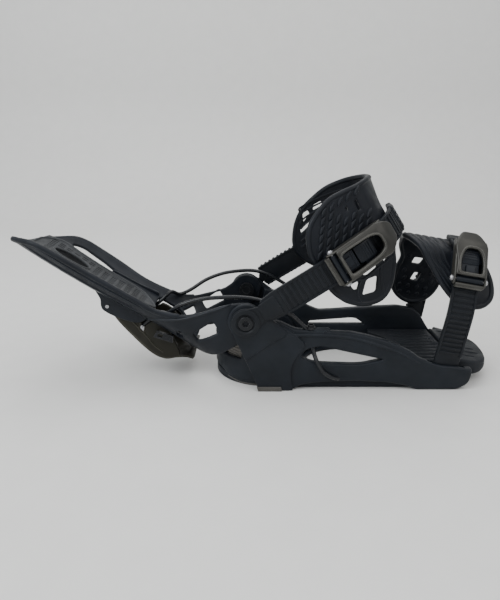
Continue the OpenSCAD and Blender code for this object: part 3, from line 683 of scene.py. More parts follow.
def ring_tube(points, radius, sides=10):
    """A closed round bead along points that end where they start."""
    bm = bmesh.new()
    points = points[:-1]
    n = len(points)
    rings = []
    side = (points[1] - points[-1]).orthogonal().normalized()
    for i, p in enumerate(points):
        d = (points[(i + 1) % n] - points[i - 1]).normalized()
        side = (side - d * side.dot(d)).normalized()
        up = d.cross(side)
        rings.append([(p + radius * (side * math.cos(a) + up * math.sin(a)))
                      for a in (2 * math.pi * k / sides for k in range(sides))])
    # undo the twist that is left when the ring closes
    d = (points[1] - points[-1]).normalized()
    carried = (side - d * side.dot(d)).normalized()
    first = (rings[0][0] - points[0]).normalized()
    twist = math.atan2(d.dot(carried.cross(first)), carried.dot(first))
    verts = []
    for i, p in enumerate(points):
        axis = (points[(i + 1) % n] - points[i - 1]).normalized()
        turn = Matrix.Rotation(twist * i / n, 3, axis)
        verts.append([bm.verts.new(p + turn @ (q - p)) for q in rings[i]])
    for i in range(n):
        one, two = verts[i], verts[(i + 1) % n]
        for k in range(sides):
            bm.faces.new((one[k], one[(k + 1) % sides], two[(k + 1) % sides], two[k]))
    bmesh.ops.recalc_face_normals(bm, faces=bm.faces)
    return bm


def inset(ring, distance):
    """A closed outline moved inward."""
    points = [Vector(q[:2]) for q in ring]
    if area(points) < 0:
        points.reverse()
    out = []
    for i, q in enumerate(points):
        d = (points[(i + 1) % len(points)] - points[i - 1]).normalized()
        out.append((q.x - d.y * distance, q.y + d.x * distance))
    return out


def leaf(x, y, length, width, turn):
    """A pointed leaf outline."""
    c, s = math.cos(math.radians(turn)), math.sin(math.radians(turn))
    pts = []
    for k in range(12):
        t = 2 * math.pi * k / 12
        u = length / 2 * math.cos(t)
        v = width / 2 * math.sin(t) * (1 - 0.35 * abs(math.cos(t)))
        pts.append((x + c * u - s * v, y + s * u + c * v))
    return pts


def ankle_pad():
    line = ANKLE_LINE
    top = line.a[line.top]

    def n_(s):
        return line.arc(s)

    def f_(s):
        return line.arc(s, True)

    near_low = [(n_(81), -13), (n_(85), -28), (n_(92), -39), (n_(104), -49), (n_(119), -53),
                (n_(133), -47), (n_(146), -32), (n_(156), -17)]
    crest_low = [(top - 6, -11), (top + 6, -12)]
    far_low = [(f_(152), -24), (f_(138), -40), (f_(118), -46), (f_(98), -38), (f_(82), -22),
               (f_(73), -8)]
    far_up = [(f_(70), 4), (f_(72), 17), (f_(84), 33.5), (f_(99), 44.6), (f_(115), 49.6),
              (f_(133), 52.6), (f_(150), 51.4)]
    crest_up = [(top + 14, 48), (top, 47), (top - 14, 48.4)]
    near_up = [(n_(152), 51.4), (n_(139), 53.6), (n_(125), 55), (n_(113), 52.6),
               (n_(97), 45.6), (n_(87), 34), (n_(81.5), 18)]
    outline = smooth_ring(near_low + crest_low + far_low + far_up + crest_up + near_up, 4)

    def mirrored(rings):
        return [[(2 * top - a, n) for a, n in ring] for ring in rings]

    lower = [
        rounded([(n_(99.5), -23), (n_(108), -24.5), (n_(105), -31), (n_(100), -29)], 2),
        rounded([(n_(104), -38), (n_(115), -28), (n_(126), -31), (n_(117), -43)], 3),
        rounded([(n_(112), -19), (n_(129), -17), (n_(130), -24), (n_(117), -25)], 2.5),
        rounded([(n_(137), -14.5), (n_(143.5), -15), (n_(142.5), -22), (n_(138), -24)], 2),
    ]
    upper = [
        rounded([(n_(145), 41), (n_(142), 40), (n_(141), 31), (n_(144), 30)], 1.3),
        rounded([(n_(134), 40), (n_(132), 39.5), (n_(131.5), 36), (n_(133.5), 36)], 0.9),
    ]
    far_upper = [
        rounded([(f_(109), 37), (f_(121), 37), (f_(122), 42), (f_(112.5), 42)], 1.5),
        rounded([(f_(93.5), 31), (f_(104), 36), (f_(104), 41), (f_(98), 40.5)], 1.5),
        rounded([(f_(85), 21.5), (f_(101), 25.5), (f_(105), 30.5), (f_(87), 27)], 1.8),
        rounded([(f_(134), 35), (f_(142), 35), (f_(142), 40), (f_(135), 40)], 1.5),
    ]
    holes = lower + upper + far_upper + mirrored(lower[:1] + lower[2:4])

    def flare(a, n):
        near_top = math.exp(-((a - top) / 26.0) ** 2)
        return near_top * 0.19 * max(0.0, n - 20)

    base = plate(outline, holes, 3.6, 1.0)
    sliced(sliced(base, 0, 3.0), 1, 8.0)
    rule = strap_rule(line, -2.3, flare)
    parts = [bent(base, rule)]
    # thick rounded rim
    rim = inset(outline, 1.6)
    parts.append(ring_tube(rule_ring(rule, rim, 0.0, 1), 2.7, 12))
    # ribs between the openings, on the near lobe
    struts = [[(n_(96), -14), (n_(110), -25), (n_(121), -26), (n_(133), -25), (n_(147), -24)],
              [(n_(110), -25), (n_(101), -33), (n_(99), -44)],
              [(n_(133), -25), (n_(128), -33), (n_(121), -50)]]
    for points in struts:
        flat = spline([(*q, 0) for q in points], 5)
        parts.append(tube([rule(p.x, p.y, 1.4) for p in flat], 1.3, 8))
    # overlapping leaves moulded into the upper part of the near side
    leaves = []
    row = 0
    for n in range(17, 50, 6):
        for k in range(8):
            s = 90 + k * 9 + (4.5 if row % 2 else 0)
            inside = n < 12 + 38 * math.sin(math.radians(min(90, max(0, (s - 78) * 2.1))))
            if not inside or s > 150:
                continue
            if any(abs(n_(s) - sum(q[0] for q in h) / len(h)) < 8
                   and abs(n - sum(q[1] for q in h) / len(h)) < 7 for h in upper):
                continue
            leaves.append(leaf(n_(s), n, 10.5, 4.0, 32))
        row += 1
    for ring in leaves:
        bump = plate(ring, (), 3.2, 1.2, 3)
        sliced(bump, 0, 3.0)
        parts.append(bent(bump, strap_rule(line, -0.4, flare)))
    # and the ribs on the inside of the far side
    for k in range(7):
        n = 8 + k * 6
        flat = spline([(f_(78 + k * 3), n, 0), (f_(100), n + 3, 0), (f_(124), n + 2, 0),
                       (f_(148), n - 2, 0)], 6)
        parts.append(tube([rule(p.x, p.y, -1.8) for p in flat], 1.0, 8))
    return joined(*parts)


piece("ankle_pad_skin", ankle_pad(), M["cushion"], "ankle_strap",
      ("ankle_pad", "ankle_strap_screws"), matrix=ANKLE)


def ladder(line, width, head, taper, end, pitch, first_rib, thick=3.0, gap=LADDER_GAP):
    """A ribbed strap: round head, plain panel and ribs between raised borders; the callers add
    the thick end.
    """
    half = width / 2
    mid = gap + thick / 2
    neck = 0.86 * half
    outline = [(head * math.cos(a), head * math.sin(a))
               for a in (math.radians(50 + 260 * k / 20) for k in range(21))]
    outline += rounded([(taper[0], -neck, 5), (taper[1], -half, 5), (end, -half, 3),
                        (end, half, 3), (taper[1], half, 5), (taper[0], neck, 5)], 3)
    holes = []
    body = plate(outline, holes, thick, 0.7, 2)
    sliced(body, 0, 2.5)
    rule = strap_rule(line, mid)
    parts = [bent(body, rule)]
    for side in (-1, 1):
        border = block((first_rib - 2, side * (half - 1.1) - 1.1, 0),
                       (end - 2, side * (half - 1.1) + 1.1, thick / 2 + 1.0), 0.4)
        sliced(border, 0, 2.5)
        parts.append(bent(border, rule))
    a = first_rib
    while a < end - 4:
        rib = block((a, -half + 2.4, 0), (a + pitch * 0.52, half - 2.4, thick / 2 + 1.15), 0.45)
        parts.append(bent(rib, rule))
        a += pitch
    return parts, rule


def ankle_ladder():
    line = ANKLE_LINE
    end = line.a[line.top] - 3
    parts, rule = ladder(line, 26, 13.5, (20, 38), end, 5.2, 41)
    # smooth raised panel between the head and the ribs
    panel = plate(rounded([(17, -8.2), (36, -9.8), (36, 9.8), (17, 8.2)], 3.5), (), 1.8, 0.7, 2)
    sliced(panel, 0, 3)
    parts.append(bent(panel, strap_rule(line, LADDER_GAP + 3.1)))
    # ring round the bolt
    ring = turned([(8.2, -1), (12.6, -1), (12.6, 0.6), (11.6, 1.1), (9.2, 1.1), (8.2, 0.4),
                   (8.2, -1)], 48)
    ring.transform(Matrix.Translation((0, -65.2, 0)) @ Matrix.Rotation(math.pi / 2, 4, "X"))
    parts.append(ring)
    # thick free end with lengthwise ribs
    tip = plate(rounded([(end - 17, -14.2), (end - 1, -14.2), (end + 2, -9), (end + 2, 9),
                         (end - 1, 14.2), (end - 17, 14.2)], 2.5), (), 5.4, 1.6)
    sliced(tip, 0, 2.5)
    parts.append(bent(tip, strap_rule(line, LADDER_GAP + 2.7)))
    for k in range(-2, 3):
        bar = block((end - 15, k * 5.0 - 1.2, 0), (end - 0.5, k * 5.0 + 1.2, 1.3), 0.5)
        sliced(bar, 0, 2.5)
        parts.append(bent(bar, strap_rule(line, LADDER_GAP + 5.0)))
    return joined(*parts)


piece("ankle_ladder_skin", ankle_ladder(), M["strap"], "ankle_strap", ("ankle_ladder",),
      matrix=ANKLE)


def far_strap(line, length, head, width, lift):
    """The plain strap on the far side, from its eye to the cushion."""
    half = width / 2
    total = line.length
    outline = [(total - head * math.cos(a), head * math.sin(a))
               for a in (math.radians(-320 + 280 * k / 20) for k in range(21))]
    outline += rounded([(total - 20, half * 0.9, 6), (total - length, half, 4),
                        (total - length, -half, 4), (total - 20, -half * 0.9, 6)], 3)
    body = plate(outline, (), 3.2, 0.8, 2)
    sliced(body, 0, 2.5)
    parts = [bent(body, strap_rule(line, lift))]
    for side in (-1, 1):
        border = block((total - length + 3, side * (half - 1.4) - 1.0, -2.2),
                       (total - 22, side * (half - 1.4) + 1.0, 2.2), 0.5)
        sliced(border, 0, 2.5)
        parts.append(bent(border, strap_rule(line, lift)))
    a = total - 26
    while a > total - length + 8:
        rib = block((a - 2.6, -half - 0.5, 0.4), (a, half + 0.5, 2.7), 0.4)
        parts.append(bent(rib, strap_rule(line, lift)))
        a -= 5.2
    return joined(*parts)


piece("ankle_far_strap_skin", far_strap(ANKLE_LINE, 112, 13.5, 24, 2.1),
      M["strap"], "ankle_strap", ("ankle_far_strap",), matrix=ANKLE)
piece("toe_far_strap_skin", far_strap(TOE_LINE, 78, 10, 20, 1.9),
      M["strap"], "toe_strap", ("toe_far_strap",), matrix=TOE)


def toe_ladder():
    line = TOE_LINE
    end = line.a[line.top] - 5
    parts, rule = ladder(line, 24, 9, (7, 11), end, 4.6, 22)
    tip = plate(rounded([(end - 12, -12.5), (end, -12.5), (end + 2, -8), (end + 2, 8),
                         (end, 12.5), (end - 12, 12.5)], 2.5), (), 4.6, 1.4)
    sliced(tip, 0, 2.5)
    parts.append(bent(tip, strap_rule(line, LADDER_GAP + 2.3)))
    return joined(*parts)


piece("toe_ladder_skin", toe_ladder(), M["strap"], "toe_strap", ("toe_ladder",),
      matrix=TOE)


def toe_cap():
    line = TOE_LINE
    top = line.a[line.top]

    def n_(s):
        return line.arc(s)

    def f_(s):
        return line.arc(s, True)

    near_low = [(n_(68), -12), (n_(71), -23), (n_(80), -29.5), (n_(92), -29.5),
                (n_(104), -24), (n_(113), -17)]
    crest_low = [(top - 3, -9), (top + 5, -8)]
    far_low = [(f_(110), -8), (f_(92), -12), (f_(75), -15), (f_(58), -14), (f_(46), -8)]
    far_end = [(f_(39), 3), (f_(38), 14), (f_(43), 25), (f_(52), 33), (f_(64), 37)]
    far_up = [(f_(78), 37), (f_(92), 36), (f_(106), 43)]
    crest_up = [(top + 8, 50), (top, 52), (top - 6, 50)]
    near_up = [(n_(113), 41), (n_(98), 30), (n_(83), 18), (n_(71), 4)]
    outline = smooth_ring(near_low + crest_low + far_low + far_end + far_up + crest_up
                          + near_up, 4)
    holes = [rounded([(f_(66), 10), (f_(76), 8), (f_(76), 16), (f_(66), 18)], 2),
             rounded([(f_(86), 14), (f_(94), 12), (f_(94), 22), (f_(86), 23)], 2)]
    base = plate(outline, holes, 3.4, 1.0)
    sliced(sliced(base, 0, 3.0), 1, 8.0)
    rule = strap_rule(line, -2.4)
    parts = [bent(base, rule), ring_tube(rule_ring(rule, inset(outline, 1.5), 0.3, 1), 2.8, 12)]
    # pleats that follow the upper edge of the near side
    for k in range(1, 5):
        drop = 5.2 * k
        flat = spline([(n_(71 + 1.2 * k), 6 - drop, 0), (n_(83), 17 - drop, 0),
                       (n_(97), 29.5 - drop, 0), (n_(111), 40 - drop, 0),
                       (top - 4, 47 - drop, 0)], 6)
        line3 = [rule(p.x, p.y, 1.3) for p in flat]
        size = [1.5 * min(1, 0.3 + i / 4, 0.3 + (len(line3) - 1 - i) / 4)
                for i in range(len(line3))]
        parts.append(tube(line3, size, 10))
    # rounded ribs over the crest
    for k in range(7):
        n = -2 + 7.6 * k
        flat = [(a, n + 0.02 * (a - top)) for a in range(round(top) - 20, round(top) + 34, 4)]
        line3 = [rule(a, m, 1.2) for a, m in flat]
        size = [2.3 * min(1, 0.25 + i / 4, 0.25 + (len(line3) - 1 - i) / 4)
                for i in range(len(line3))]
        parts.append(tube(line3, size, 10))
    # studs on the inside of the far side
    for i in range(6):
        for j in range(4):
            a, n = f_(50 + 9 * i), -5 + 10 * j + (3 if i % 2 else 0)
            if all(abs(a - sum(q[0] for q in h) / len(h)) > 7
                   or abs(n - sum(q[1] for q in h) / len(h)) > 8 for h in holes):
                stud = plate(ellipse(a, n, 3.1, 2.1, 20), (), 2.0, 0.7, 2)
                parts.append(bent(stud, strap_rule(line, -4.2)))
    return joined(*parts)


piece("toe_cap_skin", toe_cap(), M["cushion"], "toe_strap", ("toe_cap", "toe_strap_screws"),
      matrix=TOE)


# ---- ratchet buckles --------------------------------------------------------------

WALL = 1.0
SIDE_GAP = 0.3
LEVER_SIDE = 1.7


def along_y(outline, z0, z1, edge=0.7, holes=()):
    """A plate drawn in a buckle's x and height (-y), filling z0 to z1."""
    bm = plate([(x, -h) for x, h in outline], holes, abs(z1 - z0), edge, 2)
    return bent(bm, lambda x, y, z: Vector((x, y, (z0 + z1) / 2 + z)))


def buckle_lever(width, back, front):
    arm = width / 2 + SIDE_GAP + WALL + 0.2
    side = arm + LEVER_SIDE
    half = [(-back + 7, side - 0.9, 2), (-back + 20, side - 1.4, 8),
            (nose - 20, side + 0.4, 7), (nose - 15, side + 1.0, 4), (nose - 5, side - 3.4, 4),
            (nose + 0.5, 7.5, 3)]
    outline = rounded([(x, -z if x < nose - 24 else 1.4 - z, r) for x, z, r in half]
                      + half[::-1], 3)
    half = [(-back + 10.2, 9.8, 2), (-back + 18, 10.4, 6), (nose - 24, 9.4, 7),
            (nose - 17, 5.6, 4)]
    window = rounded([(x, -z, r) for x, z, r in half] + half[::-1], 2)
    top = plate(outline, [window], 3.6, 1.1, 4)
    sliced(top, 0, 2.5)

    def rule(x, z, w):
        h = 16.9 + w
        past = max(0.0, x - (nose - 17)) / 17
        h -= 7.4 * past ** 1.7
        # the frame crowns a little between its sides and falls at its long edges
        h += 0.9 * (1 - (z / side) ** 2) * (0.4 + 0.6 * past)
        h -= 1.2 * max(0.0, abs(z) - side + 3) / 3
        return Vector((x, -h, z))

    parts = [bent(top, rule)]
    # raised rim round the window
    rim = rule_ring(rule, inset(window, -1.3), 1.5, 1)
    parts.append(ring_tube(rim, 0.8, 8))
    flange = [(-back - 1.5, 14.6), (-back - 1.6, 11.4), (-back + 4, 7.2), (-back + 9, 8.2),
              (nose - 16, 9.2), (nose - 9, 9.4), (nose - 7, 12.4), (nose - 14, 16.4),
              (-back + 8, 16.6)]
    for sign in (-1, 1):
        parts.append(along_y(rounded(flange, 2), sign * arm, sign * side, 0.8))
    return joined(*parts)


def buckle_end(width, back):
    """The ribbed bracket over the entry of the ladder."""
    half = width / 2 + SIDE_GAP + WALL
    bar = [(-3.2, 9.4), (0.2, 9.2), (0.7, 12), (0.3, 15), (-2, 15.8), (-3.4, 13.8)]
    parts = [along_y(rounded([(x - back, h) for x, h in bar], 1.0), -half, half, 0.8)]
    for h in (11.2, 13.4):
        parts.append(tube([(-back - 3.3, -h, 1 - half), (-back - 3.3, -h, half - 1)], 0.6, 8))
    return joined(*parts)


def buckle_inner(width, back, front):
    """The dark carriage under the window, with its walls, floor and tab."""
    wall = width / 2 + SIDE_GAP
    floor = block((-back, -2.1, -wall - 0.4), (front, -0.2, wall + 0.4), 0.4)
    parts = [floor]
    profile = [(-back + 1, 0.2), (front, 0.2), (front, 4.8), (10, 12.8), (-back + 8, 14.2),
               (-back + 1, 13.6)]
    for sign in (-1, 1):
        parts.append(along_y(rounded(profile, 1.2), sign * wall, sign * (wall + WALL), 0.4))
    # cross pieces seen in the window
    tab = plate(rounded([(-back + 7, -8.4), (-back + 22, -8.4), (-back + 22, 8.4),
                         (-back + 7, 8.4)], 1.5), (), 2.4, 0.6, 2)
    parts.append(bent(tab, lambda x, z, w: Vector((x, -(12.6 + w), z))))
    button = plate(rounded([(-back + 9, -4.4), (-back + 17.5, -4.4), (-back + 17.5, 4.4),
                            (-back + 9, 4.4)], 1.2), (), 2.6, 0.7, 2)
    parts.append(bent(button, lambda x, z, w: Vector((x, -(14.4 + w), z))))
    for x in (-back + 19.4, -back + 21.2):
        parts.append(tube([(x, -13.9, -8), (x, -13.9, 8)], 0.5, 8))
    # sleeve on the axle
    half = width / 2 + 0.1
    sleeve = turned([(0, -half), (3.3, -half), (3.3, half), (0, half)], 28)
    sleeve.transform(Matrix.Translation((4 - back, -12, 0)))
    return joined(*parts, sleeve)


def buckle_pawl(width):
    body = plate(rounded([(-6.5, -8.5), (12.5, -8.5), (12.5, 8.5), (-6.5, 8.5)], 2.0), (),
                 2.6, 0.8, 2)
    sliced(body, 0, 2.0)
    parts = [bent(body, lambda x, z, w: Vector((x, -(13.4 + w - 0.02 * (x - 3) ** 2), z)))]
    parts.append(along_y(rounded([(0.5, 8.6), (6.5, 8.6), (9, 12.8), (-2, 13.2)], 1.0),
                         -width / 2 + 1, width / 2 - 1, 0.4))
    for k in range(4):
        x = 1.5 + 2.4 * k
        parts.append(tube([(x, -14.7, -6.5), (x, -14.7, 6.5)], 0.55, 8))
    return joined(*parts)


def knurled_pin(x, h, half, radius):
    """An axle with a domed head and a fluted collar at each end."""
    profile = [(0, -half - 1.2), (radius * 0.9, -half - 1.0), (radius * 1.35, -half),
               (radius * 1.35, -half + 1.6), (radius, -half + 1.8), (radius, half - 1.8),
               (radius * 1.35, half - 1.6), (radius * 1.35, half), (radius * 0.9, half + 1.0),
               (0, half + 1.2)]
    parts = [turned(profile, 24)]
    for end in (-1, 1):
        for k in range(12):
            t = 2 * math.pi * k / 12
            x0, y0 = 1.35 * radius * math.cos(t), 1.35 * radius * math.sin(t)
            parts.append(tube([(x0, y0, end * (half - 1.4)), (x0, y0, end * (half - 0.2))],
                              0.28, 6))
    bm = joined(*parts)
    bm.transform(Matrix.Translation((x, -h, 0)))
    return bm


for label, place, width, back, front, nose in (("ankle", ANKLE_BUCKLE, 26, 30, 24, 37),
                                               ("toe", TOE_BUCKLE, 24, 22, 10, 28)):
    piece(f"{label}_lever_skin", buckle_lever(width, back, nose), M["gunmetal"],
          f"{label}_lever", (f"{label}_buckle_lever",), matrix=place)
    piece(f"{label}_buckle_skin", buckle_inner(width, back, front), M["nylon"],
          f"{label}_strap", (f"{label}_buckle_base",), matrix=place)
    piece(f"{label}_bracket", buckle_end(width, back), M["gunmetal"], f"{label}_strap", (),
          matrix=place)
    piece(f"{label}_pawl_skin", buckle_pawl(width), M["nylon"], f"{label}_release",
          (f"{label}_pawl",), matrix=place)
    piece(f"{label}_axle_skin", knurled_pin(-back + 4, 12, width / 2 + 4.6, 1.9), M["steel"],
          f"{label}_strap", (f"{label}_buckle_axle",), matrix=place)


# ---- rear lever -------------------------------------------------------------------

LEVER_BACK = [(-64, 117), (-71, 103), (-77.5, 84), (-82.5, 66), (-84, 54), (-82, 44),
              (-76, 36), (-71, 28), (-69, 21)]


def lock_lever():
    curve = [(p.x, p.y) for p in spline([(*q, 0) for q in LEVER_BACK], 5)]
    inner = [(f + 3.2, h - 0.4) for f, h in reversed(curve)]
    parts = [side_plate(curve + inner, -30.6, 30.6, edge=1.2)]
    # side flanges: a solid cheek with the hook of the cable slot
    cheek = ([(-61.5, 121.5), (-64.5, 117)]
             + [(f + 0.4, h) for f, h in curve[3:-8]]
             + [(-69, 36), (-62, 44), (-55.5, 55), (-52.5, 66), (-53, 74),
                (-61.4, 78.4), (-66.5, 76.2), (-68.6, 78.2), (-66.6, 82.4), (-60.5, 83.4),
                (-59.0, 90), (-58.6, 104), (-57.8, 116), (-58.4, 120.5)])
    for y0, y1 in ((-30.8, -26.8), (26.8, 30.8)):
        parts.append(side_plate(rounded(cheek, 1.6, 3), y0, y1, edge=0.9))
    # folded bead along the hook and a crease across the cheek
    for side in (-1, 1):
        hook = spline([(-60.5, side * 31.0, 83.4), (-66.4, side * 31.0, 82.2),
                       (-68.4, side * 31.0, 78.4), (-66.6, side * 31.0, 76.4),
                       (-61.6, side * 31.0, 78.2)], 4)
        parts.append(tube(hook, 0.9, 8))
        crease = spline([(-60, side * 30.9, 104), (-63.5, side * 30.9, 92),
                         (-70.5, side * 30.9, 71), (-75, side * 30.9, 61.5),
                         (-76.5, side * 30.9, 50)], 4)
        parts.append(tube(crease, 0.8, 8))
    # three grips across the free end
    for f, h in ((-72.3, 32), (-70.8, 28), (-69.8, 24)):
        parts.append(tube([(f - 0.4, -27, h), (f - 0.4, 27, h)], 0.9, 8))
    return joined(*parts)


lever_pin = turned([(0, -35.4), (1.7, -35.4), (2.1, -34.8), (2.1, 34.8), (1.7, 35.4), (0, 35.4)],
                   24)
lever_pin.transform(Matrix.Translation((-61, 0, 119)) @ Matrix.Rotation(math.pi / 2, 4, "X"))
piece("lever_pin_skin", lever_pin, M["steel"], "highback", ("lever_pin",),
      matrix=HIGHBACK)
piece("lock_lever_skin", lock_lever(), M["bronze"], "lock_lever", ("lock_lever",),
      matrix=HIGHBACK)


# ---- bracing cables ---------------------------------------------------------------

def in_row(f, y, h):
    return HIGHBACK @ Vector((f, y, h))


def cable(side):
    """One sheathed cable from the lever's hook over the pivot and down to the base."""
    rear = [in_row(-64.5, side * 28.8, 80), in_row(-58, side * 28.8, 78.8),
            in_row(-50, side * 30.5, 76), in_row(-40, side * 36, 71.8)]
    if side < 0:
        # the near one comes out through the rail's window and tucks in lower down
        over = [(-178, 43, 72), (-164, 47, 81.5), (-145, 48, 87), (-125, 48, 88.8),
                (-108, 48, 88.6), (-95, 48.5, 87), (-80, 50, 82.8), (-63, 52.8, 74.2),
                (-54, 53.2, 66.5), (-46, 53.2, 58), (-43, 53, 50), (-41.5, 53, 42),
                (-39.5, 55.8, 35), (-36.8, 59.6, 28.5), (-31.5, 60, 20), (-24, 59.6, 14.5),
                (-16, 56, 11)]
    else:
        over = [(-178, 42, 66), (-166.6, 46, 69.5), (-149, 48, 80.6), (-131, 48.5, 87.6),
                (-113, 48.5, 90.6), (-95.6, 49, 90.8), (-80, 50.5, 86), (-63, 53, 76),
                (-54, 53.4, 68), (-46, 53.2, 59.5), (-43, 53, 51.5), (-41.5, 51.5, 41.5)]
    points = rear + [Vector((x, side * y, z)) for x, y, z in over]
    return joined(tube(spline(points, 6), 2.0, 14))


for label, side in (("near", -1), ("far", 1)):
    obj = piece(f"cable_{label}", cable(side), M["sheath"], None,
                (f"front_cable_{label}", f"rear_cable_{label}"))
    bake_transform(obj)


# ---- base -------------------------------------------------------------------------

NEAR_TOP = [(110, 21.5), (106, 20.9), (96, 23), (81, 24.2), (70, 27.3), (60, 31.5), (53, 37),
            (40, 44), (26, 49.5), (8, 54.5), (-7, 57.5), (-25, 58), (-47, 59.4)]
FAR_TOP = [(108.5, 15), (101, 25), (92, 40), (84, 47), (65, 50), (25, 48), (-8, 45.5),
           (-23, 45), (-35, 50), (-50, 60)]
UNDER = [(-90, 0.2), (-59, 0.2, 3), (-52, 5, 4), (-30, 8, 6), (0, 8.8, 6), (30, 7.5, 6),
         (48, 4, 5), (57, 0.2, 4), (97, 0.2, 4), (107, 6, 4)]


def arm_pocket():
    """The edge that stays clear of the highback's arm, from the top down."""
    return [(-58, 60.5), (-71, 67, 3), (-84, 70, 2), (-85.5, 53, 4), (-99, 38.5, 4),
            (-101, 30, 3)]


def rail(side):
    top = NEAR_TOP if side < 0 else FAR_TOP
    window = (rounded([(-52, 32.6), (-48.5, 40, 5), (-34, 43.6, 6), (25, 30.4, 2),
                       (4, 25.4, 8), (-32.6, 26.6, 8), (-42, 28)], 2.5)
              if side < 0 else
              rounded([(-34, 28.5), (-33, 32), (14, 35.7, 4), (20, 35, 3), (29, 28.5)], 1.5))
    outline = rounded([*UNDER, (109.5, 14, 4), *top, *arm_pocket()], 3)
    y0, y1 = sorted((side * 49, side * 57.5))
    body = side_plate(outline, y0, y1, [window], 2.2, 4)
    if side < 0:
        # pocket for the root of the toe ladder
        body = cut(body, block((68, -54.7, 4.5), (104, -50.1, 60), 0))
    parts = [body]
    # ear: a flat panel below a crease and the thicker head above it
    head = ([(-104 + 16.6 * math.cos(t), 69 + 16.6 * math.sin(t))
             for t in (math.radians(40 + 150 * k / 14) for k in range(15))]
            + [(-110.5, 45), (-104.2, 30.5), (-92, 39.5), (-77.5, 49.5), (-66.5, 55.5),
               (-66, 60), (-72, 65), (-84, 74)])
    panel = rounded([(-104.6, 31), (-93.4, 5.5, 2), (-91.5, 0.2, 2), (-59.5, 0.2, 2),
                     (-61.5, 14, 8), (-60.5, 26, 10), (-54, 37, 8), (-47.5, 46, 4),
                     (-58, 57, 3), (-72, 65, 3), (-90, 76, 3), (-113, 68, 3)], 3)
    parts.append(side_plate(panel, *sorted((side * 56.4, side * 59.6)), edge=1.2))
    parts.append(side_plate(rounded(head, 1.5, 3), *sorted((side * 56.8, side * 61)), edge=1.1))
    # ridge that runs along the outside of the rail from the ear to the toe
    if side < 0:
        ridge = spline([(-66, -58.6, 55.2), (-40, -57.6, 55.2), (-10, -57.4, 53), (14, -57.4, 47),
                        (40, -57.4, 37.5), (60, -57.4, 27)], 6)
        size = [1.5 * min(1, 0.2 + (len(ridge) - 1 - i) / 12) for i in range(len(ridge))]
        parts.append(tube(ridge, size, 10))
        # boss and hook that hold the cable's end fitting on the rail top
        parts.append(tube([(-46, -53, 56.8), (-43.5, -53, 57.2), (-27, -53, 57.4),
                           (-25, -53, 57.2)], [3.0, 3.6, 3.4, 2.4], 14))
        parts.append(tube([(-30, -57.6, 57), (-30, -48.4, 57)], 1.9, 12))
    return joined(*parts)


HOOP_R = 47.5
HOOP_X = -85
HOOP = Line([(-48, HOOP_R), (-66, HOOP_R)]
            + [(HOOP_X - HOOP_R * math.sin(t), HOOP_R * math.cos(t))
               for t in (math.pi * k / 16 for k in range(17))]
            + [(-66, -HOOP_R), (-48, -HOOP_R)], 3, turn=-1)
HOOP_MID = HOOP.length / 2


def hoop_rule(lift=0.0):
    def rule(a, z, w):
        x, y = HOOP.at(a + HOOP_MID, w + lift)
        return Vector((x, y, z))
    return rule


def both(points):
    """The points and then their mirror images in a, so that the outline closes."""
    return list(points) + [(-q[0], *q[1:]) for q in reversed(points)]


def hoop():
    bottom = [(0, 10.4), (22, 9.4), (40, 5.0), (58, 3.2), (108, 3.2)]
    top = [(108, 32), (92, 41.5), (76, 43.6), (30, 43.2), (0, 42.4)]
    side = bottom + top
    outline = smooth_ring([(-a, z) for a, z in reversed(side[1:-1])] + side, 3)
    window = rounded([(28, 25.5), (51, 25.5), (51.5, 33), (47, 40), (29, 40)], 2.5)
    holes = [window, [(-a, z) for a, z in window],
             rounded([(-13, 20), (13, 20), (13, 31), (-13, 31)], 3)]
    body = plate(outline, holes, 5.0, 1.5, 3)
    sliced(body, 0, 3.0)
    parts = [bent(body, hoop_rule())]
    rim = [hoop_rule(1.2)(a, 40.6 if abs(a) < 80 else 40.6 - (abs(a) - 80) * 0.35, 0)
           for a in range(-100, 101, 4)]
    parts.append(tube(rim, 1.6, 10))
    return joined(*parts)


def floor_ring(n=72):
    return [(HOOP_X - 49 * math.sin(t), 49 * math.cos(t))
            for t in (math.pi * k / n for k in range(n + 1))]


def floor_plate():
    outline = floor_ring(36) + [(-60, -51), (97, -51), (97, 51), (-60, 51)]
    teeth = []
    for k in range(120):
        r = 49 if k % 2 else 47.6
        t = math.pi * k / 60
        teeth.append((r * math.cos(t), r * math.sin(t)))
    disc = [(44 * math.cos(t), 44 * math.sin(t)) for t in
            (2 * math.pi * k / 96 for k in range(96))]
    low = plate(outline, [disc], 3.0, 0.4, 1)
    low.transform(Matrix.Translation((0, 0, 1.5)))
    high = plate(outline, [teeth], 4.2, 0.4, 1)
    high.transform(Matrix.Translation((0, 0, 4.9)))
    return joined(low, high)


piece("base_rail_near", rail(-1), M["frame"], "chassis", ("baseplate",))
piece("base_rail_far", rail(1), M["frame"], "chassis", ())
piece("base_hoop", hoop(), M["frame"], "chassis", ())
piece("base_floor", floor_plate(), M["frame"], "chassis", ())


def heel_liner():
    side = [(0, 15), (88, 15), (92, 20), (92, 34), (80, 38)]
    outline = rounded([(-a, z) for a, z in reversed(side[1:])] + side[1:], 3)
    body = plate(outline, (), 2.6, 0.9, 2)
    sliced(body, 0, 3.0)
    rule = hoop_rule(-4.2)
    parts = [bent(body, rule)]
    for k in range(7):
        z = 18 + 3.0 * k
        parts.append(tube([rule(a, z, 1.3) for a in range(-88, 89, 4)], 0.9, 8))
    return joined(*parts)


# the liner's foam colour is brightened as painted light
piece("heel_liner_skin", heel_liner(), M["foam_painted_light"], "chassis", ("heel_liner",))


